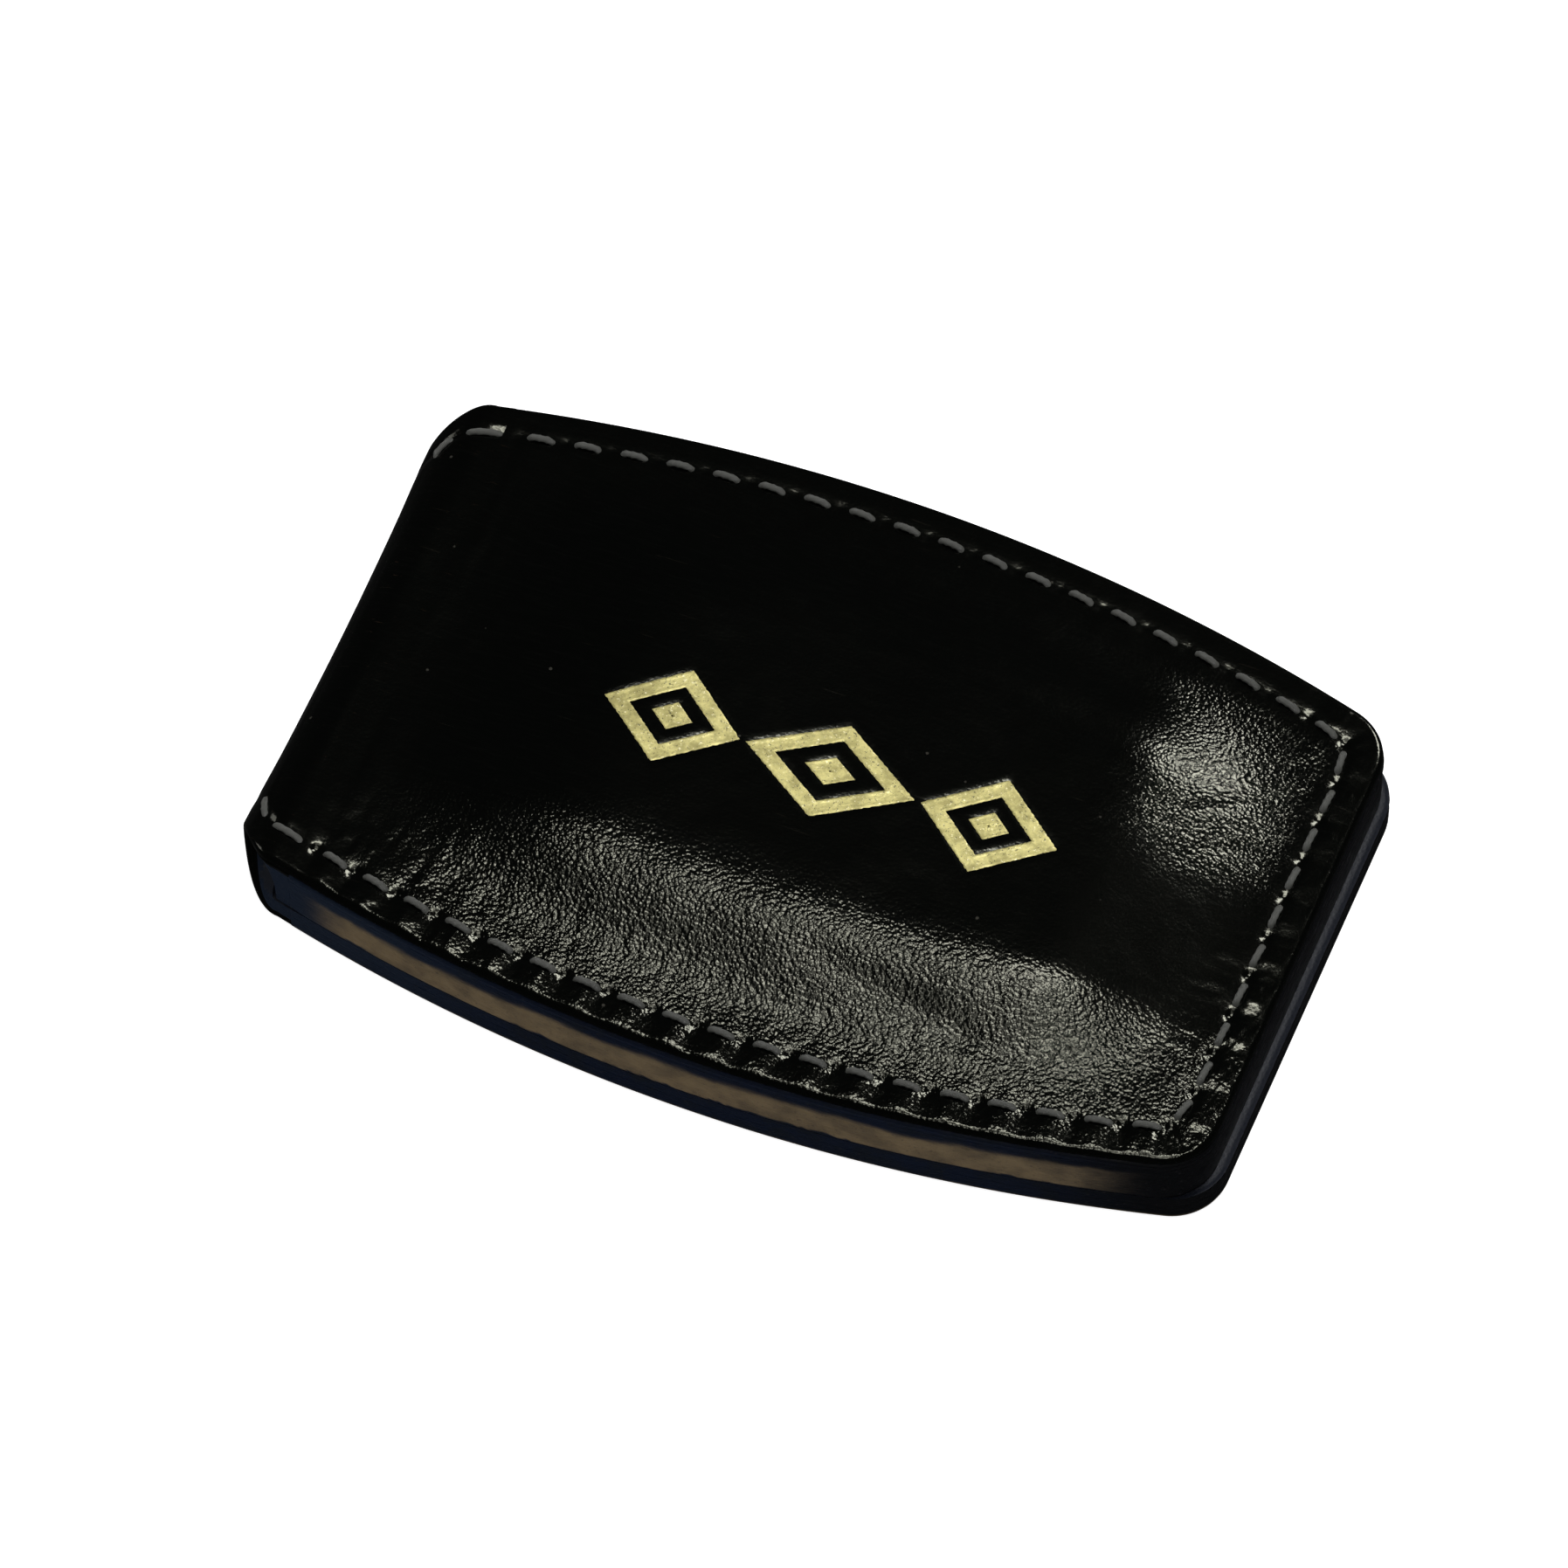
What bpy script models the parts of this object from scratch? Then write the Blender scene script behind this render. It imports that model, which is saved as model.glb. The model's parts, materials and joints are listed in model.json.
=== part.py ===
"""Folding magnetic money clip in padded leather.

A leather strip is folded in two. The lower leaf lies on the table, the upper
leaf lies over it, and magnets in the upper leaf pull on a steel keeper plate
in the lower one, so that banknotes between the leaves are held.

Frame: +X runs from the fold to the free end, +Y across the clip and +Z up.
The origin is the middle of the closed clip's footprint, on the table.
Positions are in metres.
"""

import math

import bmesh
import bpy
from mathutils import Matrix, Vector

MM = 0.001

# Driving dimensions: the plan
LENGTH = 71.6 * MM  # outside of the fold to the lower leaf's free end
LEAF_STEP = 0.7 * MM  # how far the lower leaf reaches past the upper one
FOLD_END_HALF_WIDTH = 18.85 * MM  # where the long sides meet the fold's outside
FREE_END_HALF_WIDTH = 18.2 * MM  # where the long sides would meet the free end
SIDE_BOW = 4.85 * MM  # how far each long side bulges between those two ends
FREE_CORNER_RADIUS = 4.2 * MM
FOLD_NARROWING = 3.4 * MM  # how much narrower each side is at the middle of the fold

# Driving dimensions: the stack, from the table up
FIT_GAP = 0.05 * MM  # left between glued layers
LOWER_COVER = 0.95 * MM
LOWER_WELT = 0.6 * MM
LOWER_LINING = 0.85 * MM
LEAF_GAP = 0.3 * MM
UPPER_LINING = 2.35 * MM
UPPER_WELT = 1.1 * MM
UPPER_COVER = 1.45 * MM
DOME_RISE = 1.8 * MM  # how far the padded middle stands above the rim

# Driving dimensions: the padded dome, measured inwards from the leaf's edge
DOME_START = 3.3 * MM
DOME_END = 12.5 * MM
RIM_ROUNDING = 0.5 * MM

# Driving dimensions: the fold
FOLD_SEGMENTS = 5
FOLD_LEATHER = 1.05 * MM
FOLD_LINING = 1.2 * MM
FOLD_STEPS = 4  # facets along one segment's arc
WEDGE_GAP = math.radians(0.8)  # left between neighbouring segments

# Driving dimensions: what is inside the leaves
WELT_WIDTH = 6.4 * MM
BOARD_INSET = 7.4 * MM
BOARD_THICKNESS = 1.4 * MM
BOARD_CORNER_RADIUS = 3.0 * MM
MAGNET_RADIUS = 6.0 * MM
MAGNET_THICKNESS = 1.2 * MM
MAGNET_X = (-8.5 * MM, 14.5 * MM)
KEEPER_THICKNESS = 0.5 * MM

# Driving dimensions: the stitching
STITCH_INSET = 2.45 * MM
THREAD_RADIUS = 0.24 * MM
GROOVE_RADIUS = 0.36 * MM
THREAD_PROUD = 0.2 * MM  # how far the thread on the upper cover stands out

# Driving dimensions: the gilt mark, three lozenges in a row
FOIL_THICKNESS = 0.12 * MM
FOIL_CENTRE = Vector((0.8 * MM, 0.0))
LOZENGE_PITCH = 11.6 * MM
LOZENGE_HALF_SIZES = ((5.0 * MM, 3.9 * MM), (6.2 * MM, 3.9 * MM), (5.0 * MM, 3.9 * MM))
LOZENGE_STROKE = 1.0 * MM
LOZENGE_HEART = 0.3  # size of the solid lozenge inside, relative to the frame

# Levels and places worked out from the driving dimensions
LOWER_WELT_Z = LOWER_COVER + FIT_GAP
LOWER_LINING_Z = LOWER_WELT_Z + LOWER_WELT + FIT_GAP
LOWER_TOP_Z = LOWER_LINING_Z + LOWER_LINING
UPPER_LINING_Z = LOWER_TOP_Z + LEAF_GAP
UPPER_WELT_Z = UPPER_LINING_Z + UPPER_LINING + FIT_GAP
UPPER_COVER_Z = UPPER_WELT_Z + UPPER_WELT + FIT_GAP
RIM_Z = UPPER_COVER_Z + UPPER_COVER
DOME_TOP_Z = RIM_Z + DOME_RISE
FOLD_RADIUS = RIM_Z / 2
FOLD_OUTSIDE_X = -LENGTH / 2
FOLD_X = FOLD_OUTSIDE_X + FOLD_RADIUS
LOWER_FREE_X = LENGTH / 2
UPPER_FREE_X = LOWER_FREE_X - LEAF_STEP
LEAF_X = FOLD_X + FIT_GAP  # where the leaves' layers begin
SEGMENT_ANGLE = math.pi / FOLD_SEGMENTS

BLACK = (0.012, 0.014, 0.013)
EDGE_BLACK = (0.02, 0.03, 0.055)
TAN = (0.30, 0.21, 0.12)
FOAM = (0.55, 0.52, 0.45)
BOARD_GREY = (0.32, 0.29, 0.25)
NICKEL = (0.72, 0.71, 0.68)
STEEL = (0.45, 0.46, 0.48)
THREAD_GREY = (0.10, 0.10, 0.095)
GILT = (0.78, 0.66, 0.34)


def clear_scene():
    """Remove whatever the file holds, so that only the clip is left."""
    for thing in list(bpy.data.objects):
        bpy.data.objects.remove(thing, do_unlink=True)


def new_collection(name):
    collection = bpy.data.collections.new(name)
    bpy.context.scene.collection.children.link(collection)
    return collection


def material(name, colour, roughness, metallic=0.0):
    surface = bpy.data.materials.new(name)
    surface.use_nodes = True
    shader = surface.node_tree.nodes["Principled BSDF"]
    shader.inputs["Base Color"].default_value = (*colour, 1.0)
    shader.inputs["Roughness"].default_value = roughness
    shader.inputs["Metallic"].default_value = metallic
    surface.diffuse_color = (*colour, 1.0)
    return surface


def finish_mesh(name, mesh, surface, collection):
    piece = bpy.data.objects.new(name, mesh)
    mesh.materials.clear()
    mesh.materials.append(surface)
    collection.objects.link(piece)
    return piece


def from_bmesh(name, bm, surface, collection):
    bmesh.ops.recalc_face_normals(bm, faces=bm.faces)
    mesh = bpy.data.meshes.new(name)
    bm.to_mesh(mesh)
    bm.free()
    return finish_mesh(name, mesh, surface, collection)


# ---- The plan of a leaf: bowed sides, a straight free end, rounded corners ----


def side_circle():
    """Centre and radius of the long side's arc, on the +Y side."""
    start = Vector((FOLD_OUTSIDE_X, FOLD_END_HALF_WIDTH))
    end = Vector((UPPER_FREE_X, FREE_END_HALF_WIDTH))
    chord = end - start
    radius = chord.length_squared / (8 * SIDE_BOW) + SIDE_BOW / 2
    outwards = Vector((-chord.y, chord.x)).normalized()
    return (start + end) / 2 - outwards * (radius - SIDE_BOW), radius


SIDE_CENTRE, SIDE_RADIUS = side_circle()


def half_width(x):
    return SIDE_CENTRE.y + math.sqrt(SIDE_RADIUS**2 - (x - SIDE_CENTRE.x) ** 2)


def arc(centre, radius, start, end, steps):
    """Points on an arc from one angle to another, both ends included."""
    turns = [start + (end - start) * i / steps for i in range(steps + 1)]
    return [centre + radius * Vector((math.cos(t), math.sin(t))) for t in turns]


def corner_centre(x, inset, radius):
    """Centre of the corner arc that touches both the long side and the line at x."""
    reach = SIDE_RADIUS - inset - radius
    return Vector((x, SIDE_CENTRE.y + math.sqrt(reach**2 - (x - SIDE_CENTRE.x) ** 2)))


def half_outline(left, right, inset, left_radius, right_radius, side_steps=16, corner_steps=5):
    """The +Y half of a leaf's outline, from its left end to its right end."""
    left_centre = corner_centre(left + left_radius, inset, left_radius)
    right_centre = corner_centre(right - right_radius, inset, right_radius)
    left_spoke = left_centre - SIDE_CENTRE
    right_spoke = right_centre - SIDE_CENTRE
    left_turn = math.atan2(left_spoke.y, left_spoke.x)
    right_turn = math.atan2(right_spoke.y, right_spoke.x)
    points = []
    if left_radius > 0:
        points += arc(left_centre, left_radius, math.pi, left_turn, corner_steps)[:-1]
    points += arc(SIDE_CENTRE, SIDE_RADIUS - inset, left_turn, right_turn, side_steps)
    points += arc(right_centre, right_radius, right_turn, 0.0, corner_steps)[1:]
    return points


def outline(left, right, inset=0.0, left_radius=0.0, right_radius=FREE_CORNER_RADIUS):
    """A leaf's whole outline, clockwise from its left end's +Y corner."""
    half = half_outline(left, right, inset, left_radius, right_radius)
    return half + [Vector((p.x, -p.y)) for p in reversed(half)]


def inset_corner(inset):
    """Corner radius of the leaf's outline at this inset: it never gets sharp."""
    return max(FREE_CORNER_RADIUS - inset, 1.2 * MM + 0.3 * inset)


# ---- Shapes ----


def mesh_of_curve(curve_object):
    """Replace a curve object by its mesh, with the caps welded to the sides."""
    bpy.context.view_layer.update()
    evaluated = curve_object.evaluated_get(bpy.context.evaluated_depsgraph_get())
    mesh = bpy.data.meshes.new_from_object(evaluated)
    bm = bmesh.new()
    bm.from_mesh(mesh)
    bmesh.ops.remove_doubles(bm, verts=bm.verts, dist=0.001 * MM)
    bm.to_mesh(mesh)
    bm.free()
    mesh.transform(curve_object.matrix_world)
    bpy.data.objects.remove(curve_object, do_unlink=True)
    return mesh


def plate(name, points, bottom, top, surface, collection):
    """A flat piece of sheet cut to an outline."""
    curve = bpy.data.curves.new(name, "CURVE")
    curve.dimensions = "2D"
    curve.fill_mode = "BOTH"
    curve.extrude = (top - bottom) / 2
    spline = curve.splines.new("POLY")
    spline.points.add(len(points) - 1)
    for spot, point in zip(spline.points, points):
        spot.co = (point.x, point.y, 0.0, 1.0)
    spline.use_cyclic_u = True
    flat = bpy.data.objects.new(name, curve)
    flat.location.z = (top + bottom) / 2
    collection.objects.link(flat)
    return finish_mesh(name, mesh_of_curve(flat), surface, collection)


def loft(name, rings, surface, collection):
    """A solid through a stack of outlines, each a list of points and a height."""
    bm = bmesh.new()
    loops = [[bm.verts.new((p.x, p.y, height)) for p in points] for points, height in rings]
    bm.faces.new(loops[0])
    bm.faces.new(loops[-1])
    for below, above in zip(loops, loops[1:]):
        for i, corner in enumerate(below):
            bm.faces.new((corner, below[i - 1], above[i - 1], above[i]))
    return from_bmesh(name, bm, surface, collection)


def strand(name, points, radius, height, surface, collection):
    """A thread of round section along a level path."""
    curve = bpy.data.curves.new(name, "CURVE")
    curve.dimensions = "3D"
    curve.bevel_depth = radius
    curve.bevel_resolution = 1
    curve.use_fill_caps = True
    spline = curve.splines.new("POLY")
    spline.points.add(len(points) - 1)
    for spot, point in zip(spline.points, points):
        spot.co = (point.x, point.y, height, 1.0)
    path = bpy.data.objects.new(name, curve)
    collection.objects.link(path)
    return finish_mesh(name, mesh_of_curve(path), surface, collection)


def disc(name, radius, centre, thickness, surface, collection):
    bm = bmesh.new()
    bmesh.ops.create_cone(
        bm, cap_ends=True, segments=32, radius1=radius, radius2=radius, depth=thickness,
        matrix=Matrix.Translation(centre),
    )
    return from_bmesh(name, bm, surface, collection)


def cut(piece, cutter):
    """Subtract a cutter from a piece, and keep the cutter out of sight."""
    cutter.hide_render = True
    cutter.display_type = "WIRE"
    boolean = piece.modifiers.new("cut_" + cutter.name, "BOOLEAN")
    boolean.operation = "DIFFERENCE"
    boolean.solver = "EXACT"
    boolean.object = cutter


# ---- Stitching ----


def stitch_path(free_x):
    """The seam: along one long side, round the free end, back along the other."""
    start = LEAF_X + 0.6 * MM
    radius = FREE_CORNER_RADIUS - STITCH_INSET
    half = half_outline(start, free_x - STITCH_INSET, STITCH_INSET, 0.0, radius)
    return half + [Vector((p.x, -p.y)) for p in reversed(half)]


def stitch(name, cover, free_x, height, surface, parts, cutters):
    """One strand of the seam, lying in a groove of the layer that it shows on."""
    path = stitch_path(free_x)
    run_out = 2 * MM
    channel = [path[0] - Vector((run_out, 0.0)), *path, path[-1] - Vector((run_out, 0.0))]
    groove = strand("groove_" + name, channel, GROOVE_RADIUS, height, surface, cutters)
    cut(cover, groove)
    return strand(name, path, THREAD_RADIUS, height, surface, parts)


# ---- The lower leaf ----


def make_lower_leaf(looks, parts, cutters):
    plan = outline(LEAF_X, LOWER_FREE_X)
    rounded = outline(LEAF_X, LOWER_FREE_X - RIM_ROUNDING, RIM_ROUNDING, 0.0,
                      FREE_CORNER_RADIUS - RIM_ROUNDING)
    cover = loft(
        "lower_cover", [(rounded, 0.0), (plan, RIM_ROUNDING), (plan, LOWER_COVER)],
        looks["black_leather"], parts,
    )
    welt = make_welt("lower_welt", LOWER_FREE_X, LOWER_WELT_Z, LOWER_WELT, looks, parts, cutters)
    keeper_middle = LOWER_WELT_Z + LOWER_WELT / 2
    keeper = plate(
        "keeper_plate", board_outline(), keeper_middle - KEEPER_THICKNESS / 2,
        keeper_middle + KEEPER_THICKNESS / 2, looks["keeper_steel"], parts,
    )
    lining = plate("lower_lining", plan, LOWER_LINING_Z, LOWER_TOP_Z, looks["tan_leather"], parts)
    outer_thread = stitch(
        "lower_cover_thread", cover, LOWER_FREE_X, THREAD_RADIUS + FIT_GAP,
        looks["thread"], parts, cutters,
    )
    inner_thread = stitch(
        "lower_lining_thread", lining, LOWER_FREE_X, LOWER_TOP_Z - THREAD_RADIUS - FIT_GAP,
        looks["thread"], parts, cutters,
    )
    return [cover, welt, keeper, lining, outer_thread, inner_thread]


def board_outline():
    left = LEAF_X + BOARD_INSET
    right = UPPER_FREE_X - BOARD_INSET
    return outline(left, right, BOARD_INSET, BOARD_CORNER_RADIUS, BOARD_CORNER_RADIUS)


def make_welt(name, free_x, bottom, thickness, looks, parts, cutters):
    """The U-shaped filler that brings the leaf's edge to its full thickness."""
    welt = plate(
        name, outline(LEAF_X, free_x), bottom, bottom + thickness, looks["edge_leather"], parts
    )
    inside = outline(
        LEAF_X - WELT_WIDTH, UPPER_FREE_X - WELT_WIDTH, WELT_WIDTH, 0.0, inset_corner(WELT_WIDTH)
    )
    middle = plate(
        "window_" + name, inside, bottom - MM, bottom + thickness + MM, looks["edge_leather"],
        cutters,
    )
    cut(welt, middle)
    return welt


# ---- The upper leaf ----


def dome_height(inset):
    """Rise of the padded top at a distance in from the leaf's edge."""
    share = min(max((inset - DOME_START) / (DOME_END - DOME_START), 0.0), 1.0)
    return DOME_RISE * share * share * (3 - 2 * share)


def dome_ring(inset):
    """The outline at this inset, drawn in from the fold mostly under the dome."""
    into_dome = max(inset - DOME_START, 0.0)
    left = LEAF_X + 0.1 * inset + 0.8 * into_dome
    left_radius = 0.3 * MM + 0.5 * into_dome
    return outline(left, UPPER_FREE_X - inset, inset, left_radius, inset_corner(inset))


def dome_insets(first, steps):
    return [first + (DOME_END - first) * i / steps for i in range(steps + 1)]


def make_upper_cover(looks, parts):
    """The moulded cover: a flat rim, a domed middle, and a hollow for the padding."""
    hollow = reversed(dome_insets(DOME_START, 5))
    rings = [(dome_ring(i), UPPER_COVER_Z + dome_height(i)) for i in hollow]
    rings.append((dome_ring(0.0), UPPER_COVER_Z))
    rings.append((dome_ring(0.0), RIM_Z - RIM_ROUNDING))
    rings.append((dome_ring(RIM_ROUNDING * 0.3), RIM_Z - RIM_ROUNDING * 0.3))
    rings.append((dome_ring(RIM_ROUNDING), RIM_Z))
    rings += [(dome_ring(i), RIM_Z + dome_height(i)) for i in dome_insets(DOME_START, 7)]
    return loft("upper_cover", rings, looks["black_leather"], parts)


def make_padding(looks, parts, bottom):
    """The foam pad that fills the hollow between the board and the cover."""
    insets = dome_insets(BOARD_INSET, 4)
    rings = [(dome_ring(insets[0]), bottom)]
    rings += [(dome_ring(i), UPPER_COVER_Z + dome_height(i) - FIT_GAP) for i in insets]
    return loft("padding", rings, looks["foam"], parts)


def make_magnets(board, bottom, looks, parts, cutters):
    """Two disc magnets, each in a round pocket through the board."""
    magnets = []
    middle = bottom + BOARD_THICKNESS / 2
    for number, x in enumerate(MAGNET_X, 1):
        centre = Vector((x, 0.0, middle))
        pocket = disc(
            f"magnet_pocket_{number}", MAGNET_RADIUS + 0.1 * MM, centre, BOARD_THICKNESS * 2,
            looks["nickel"], cutters,
        )
        cut(board, pocket)
        name = f"magnet_{number}"
        magnets.append(disc(name, MAGNET_RADIUS, centre, MAGNET_THICKNESS, looks["nickel"], parts))
    return magnets


def make_upper_leaf(looks, parts, cutters):
    plan = outline(LEAF_X, UPPER_FREE_X)
    lining = plate("upper_lining", plan, UPPER_LINING_Z, UPPER_LINING_Z + UPPER_LINING,
                   looks["tan_leather"], parts)
    welt = make_welt("upper_welt", UPPER_FREE_X, UPPER_WELT_Z, UPPER_WELT, looks, parts, cutters)
    board_top = UPPER_WELT_Z + BOARD_THICKNESS
    board = plate("magnet_board", board_outline(), UPPER_WELT_Z, board_top,
                  looks["fibreboard"], parts)
    magnets = make_magnets(board, UPPER_WELT_Z, looks, parts, cutters)
    padding = make_padding(looks, parts, board_top + FIT_GAP)
    cover = make_upper_cover(looks, parts)
    outer_thread = stitch(
        "upper_cover_thread", cover, UPPER_FREE_X, RIM_Z + THREAD_PROUD - THREAD_RADIUS,
        looks["thread"], parts, cutters,
    )
    inner_thread = stitch(
        "upper_lining_thread", lining, UPPER_FREE_X, UPPER_LINING_Z + THREAD_RADIUS + FIT_GAP,
        looks["thread"], parts, cutters,
    )
    marks = make_gilt_marks(looks, parts, cutters)
    return [lining, welt, board, *magnets, padding, cover, outer_thread, inner_thread, *marks]


# ---- The gilt mark ----


def lozenge(centre, half_length, half_height):
    spokes = ((-half_length, 0.0), (0.0, half_height), (half_length, 0.0), (0.0, -half_height))
    return [centre + Vector(spoke) for spoke in spokes]


def make_gilt_marks(looks, parts, cutters):
    """Three lozenge frames with a small solid lozenge in each, laid on the dome."""
    bottom = DOME_TOP_Z + 0.02 * MM
    top = bottom + FOIL_THICKNESS
    marks = []
    for number, (length, height) in enumerate(LOZENGE_HALF_SIZES):
        centre = FOIL_CENTRE + Vector(((number - 1) * LOZENGE_PITCH, 0.0))
        frame = plate(f"gilt_frame_{number + 1}", lozenge(centre, length, height), bottom, top,
                      looks["gilt"], parts)
        inner = 1 - LOZENGE_STROKE * math.hypot(length, height) / (length * height)
        hole = plate(f"gilt_hole_{number + 1}", lozenge(centre, length * inner, height * inner),
                     bottom - MM, top + MM, looks["gilt"], cutters)
        cut(frame, hole)
        heart = plate(
            f"gilt_heart_{number + 1}",
            lozenge(centre, length * LOZENGE_HEART, height * LOZENGE_HEART),
            bottom, top, looks["gilt"], parts,
        )
        marks += [frame, heart]
    return marks


# ---- The fold: rigid strips that unroll, hinged on the leather's outside ----


def fold_point(angle):
    """A point on the fold's outside, at an angle up from its lower end."""
    return Vector((
        FOLD_X - FOLD_RADIUS * math.sin(angle), 0.0, FOLD_RADIUS - FOLD_RADIUS * math.cos(angle),
    ))


def fold_half_width(angle):
    """The strip is narrower at the middle of the fold, which rounds its ends."""
    return half_width(FOLD_X) - FOLD_NARROWING * math.sin(angle) ** 2


def fold_strip(name, number, outer, thickness, surface, collection):
    """A strip of the fold: a section spun about the fold's axis, then tapered."""
    start = number * SEGMENT_ANGLE + WEDGE_GAP / 2
    sweep = SEGMENT_ANGLE - WEDGE_GAP
    bm = bmesh.new()
    section = [
        bm.verts.new((FOLD_X, side, FOLD_RADIUS - radius))
        for side, radius in ((-1, outer), (1, outer), (1, outer - thickness), (-1, outer - thickness))
    ]
    face = bm.faces.new(section)
    axis_point = Vector((FOLD_X, 0.0, FOLD_RADIUS))
    to_start = Matrix.Rotation(start, 3, "Y")
    bmesh.ops.rotate(bm, cent=axis_point, matrix=to_start, verts=section)
    bmesh.ops.spin(
        bm, geom=[face, *face.edges, *face.verts], cent=axis_point, axis=(0, 1, 0),
        angle=sweep, steps=FOLD_STEPS,
    )
    for vert in bm.verts:
        angle = math.atan2(FOLD_X - vert.co.x, FOLD_RADIUS - vert.co.z)
        vert.co.y *= fold_half_width(angle)
    return from_bmesh(name, bm, surface, collection)


def make_fold(looks, parts):
    """Every segment of the fold as a pair: the cover's strip and the lining's strip."""
    segments = []
    inner_radius = FOLD_RADIUS - FOLD_LEATHER - FIT_GAP
    for number in range(FOLD_SEGMENTS):
        cover = fold_strip(f"fold_cover_{number + 1}", number, FOLD_RADIUS, FOLD_LEATHER,
                           looks["black_leather"], parts)
        lining = fold_strip(f"fold_lining_{number + 1}", number, inner_radius, FOLD_LINING,
                            looks["tan_leather"], parts)
        segments.append([cover, lining])
    return segments


def hinge_empty(name, place, parent, collection):
    empty = bpy.data.objects.new(name, None)
    empty.empty_display_size = 3 * MM
    collection.objects.link(empty)
    hang(empty, parent)
    empty.matrix_world = Matrix.Translation(place)
    bpy.context.view_layer.update()
    return empty


def hang(piece, parent):
    """Parent a piece without moving it."""
    if parent is not None:
        piece.parent = parent
        piece.matrix_parent_inverse = parent.matrix_world.inverted()


def make_hinges(segments, upper_leaf, parts):
    """A chain of empties on the hinge lines: each carries one segment, the last the leaf."""
    parent = None
    for number, group in enumerate([*segments, upper_leaf]):
        place = fold_point(number * SEGMENT_ANGLE)
        parent = hinge_empty(f"fold_hinge_{number + 1}", place, parent, parts)
        for piece in group:
            hang(piece, parent)


def main():
    clear_scene()
    parts = new_collection("money_clip")
    cutters = new_collection("cutters")
    looks = {
        "black_leather": material("black_leather", BLACK, 0.35),
        "edge_leather": material("edge_leather", EDGE_BLACK, 0.4),
        "tan_leather": material("tan_leather", TAN, 0.6),
        "foam": material("foam", FOAM, 0.9),
        "fibreboard": material("fibreboard", BOARD_GREY, 0.85),
        "nickel": material("nickel", NICKEL, 0.25, 1.0),
        "keeper_steel": material("keeper_steel", STEEL, 0.4, 1.0),
        "thread": material("thread", THREAD_GREY, 0.6),
        "gilt": material("gilt", GILT, 0.3, 1.0),
    }
    make_lower_leaf(looks, parts, cutters)
    segments = make_fold(looks, parts)
    upper_leaf = make_upper_leaf(looks, parts, cutters)
    make_hinges(segments, upper_leaf, parts)


main()
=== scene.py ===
"""Looks of the folding leather money clip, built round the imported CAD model.

Everything is in metres, in the CAD model's frame: +X runs from the fold to the
free end, +Y across the clip and +Z up. The leather, its stitches, the painted
edges, the linings and the gilt mark are new pieces that stand for CAD nodes.
"""

import json
import math
from types import SimpleNamespace

import bpy
import numpy as np
from mathutils import Matrix, Vector


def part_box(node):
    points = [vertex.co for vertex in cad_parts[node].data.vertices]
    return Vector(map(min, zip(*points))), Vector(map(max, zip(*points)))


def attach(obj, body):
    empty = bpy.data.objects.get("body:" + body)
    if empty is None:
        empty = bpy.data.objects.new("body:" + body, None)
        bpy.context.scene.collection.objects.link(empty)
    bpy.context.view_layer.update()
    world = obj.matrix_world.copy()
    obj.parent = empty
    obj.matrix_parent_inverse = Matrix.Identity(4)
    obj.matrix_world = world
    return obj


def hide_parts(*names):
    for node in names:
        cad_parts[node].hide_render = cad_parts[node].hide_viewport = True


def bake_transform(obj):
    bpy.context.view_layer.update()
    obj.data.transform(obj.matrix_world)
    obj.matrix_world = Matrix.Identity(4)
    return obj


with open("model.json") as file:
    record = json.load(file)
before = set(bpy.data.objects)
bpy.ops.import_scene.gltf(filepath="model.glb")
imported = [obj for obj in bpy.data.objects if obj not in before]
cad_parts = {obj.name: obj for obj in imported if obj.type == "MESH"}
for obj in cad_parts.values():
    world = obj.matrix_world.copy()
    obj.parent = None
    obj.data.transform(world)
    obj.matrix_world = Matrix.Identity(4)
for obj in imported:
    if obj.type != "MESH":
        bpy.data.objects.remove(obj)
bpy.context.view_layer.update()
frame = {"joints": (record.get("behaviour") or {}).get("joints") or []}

MM = 0.001

# ---- Places read from the frame ----


def levels(node):
    """A node's lowest and highest z."""
    low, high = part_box(node)
    return low.z, high.z


HINGES = {joint["name"]: joint["pos_m"] for joint in frame["joints"]}
SEGMENTS = len(HINGES) - 1
FOLD_X, _, RIM_Z = HINGES[f"fold_hinge_{SEGMENTS + 1}"]
FOLD_RADIUS = RIM_Z / 2
ARC = math.pi * FOLD_RADIUS
SEGMENT_ARC = ARC / SEGMENTS
UPPER_FREE_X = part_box("upper_cover")[1].x
LOWER_FREE_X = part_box("lower_cover")[1].x
COVER_BACK, COVER_TOP = levels("upper_cover")
DOME_RISE = COVER_TOP - RIM_Z
UPPER_WELT, UPPER_LINING = levels("upper_welt"), levels("upper_lining")
LOWER_WELT, LOWER_LINING = levels("lower_welt"), levels("lower_lining")

# ---- Driving dimensions, as in the CAD model ----

FOLD_OUTSIDE_X = FOLD_X - FOLD_RADIUS
FOLD_END_HALF_WIDTH = 18.85 * MM
FREE_END_HALF_WIDTH = 18.2 * MM
SIDE_BOW = 4.85 * MM
CORNER_RADIUS = 4.2 * MM
FOLD_NARROWING = 3.4 * MM
STITCH_INSET = 2.45 * MM
STITCH_PITCH = 3.3 * MM
FOLD_LEATHER = 1.05 * MM
JOIN = 1.2 * MM  # how far the fold's leather runs on before the leaf's piece begins
JOIN_X = FOLD_X + JOIN
STRIP = 2 * JOIN + ARC  # the fold's leather, unrolled along its outside

# ---- Dimensions of the look ----

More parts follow.
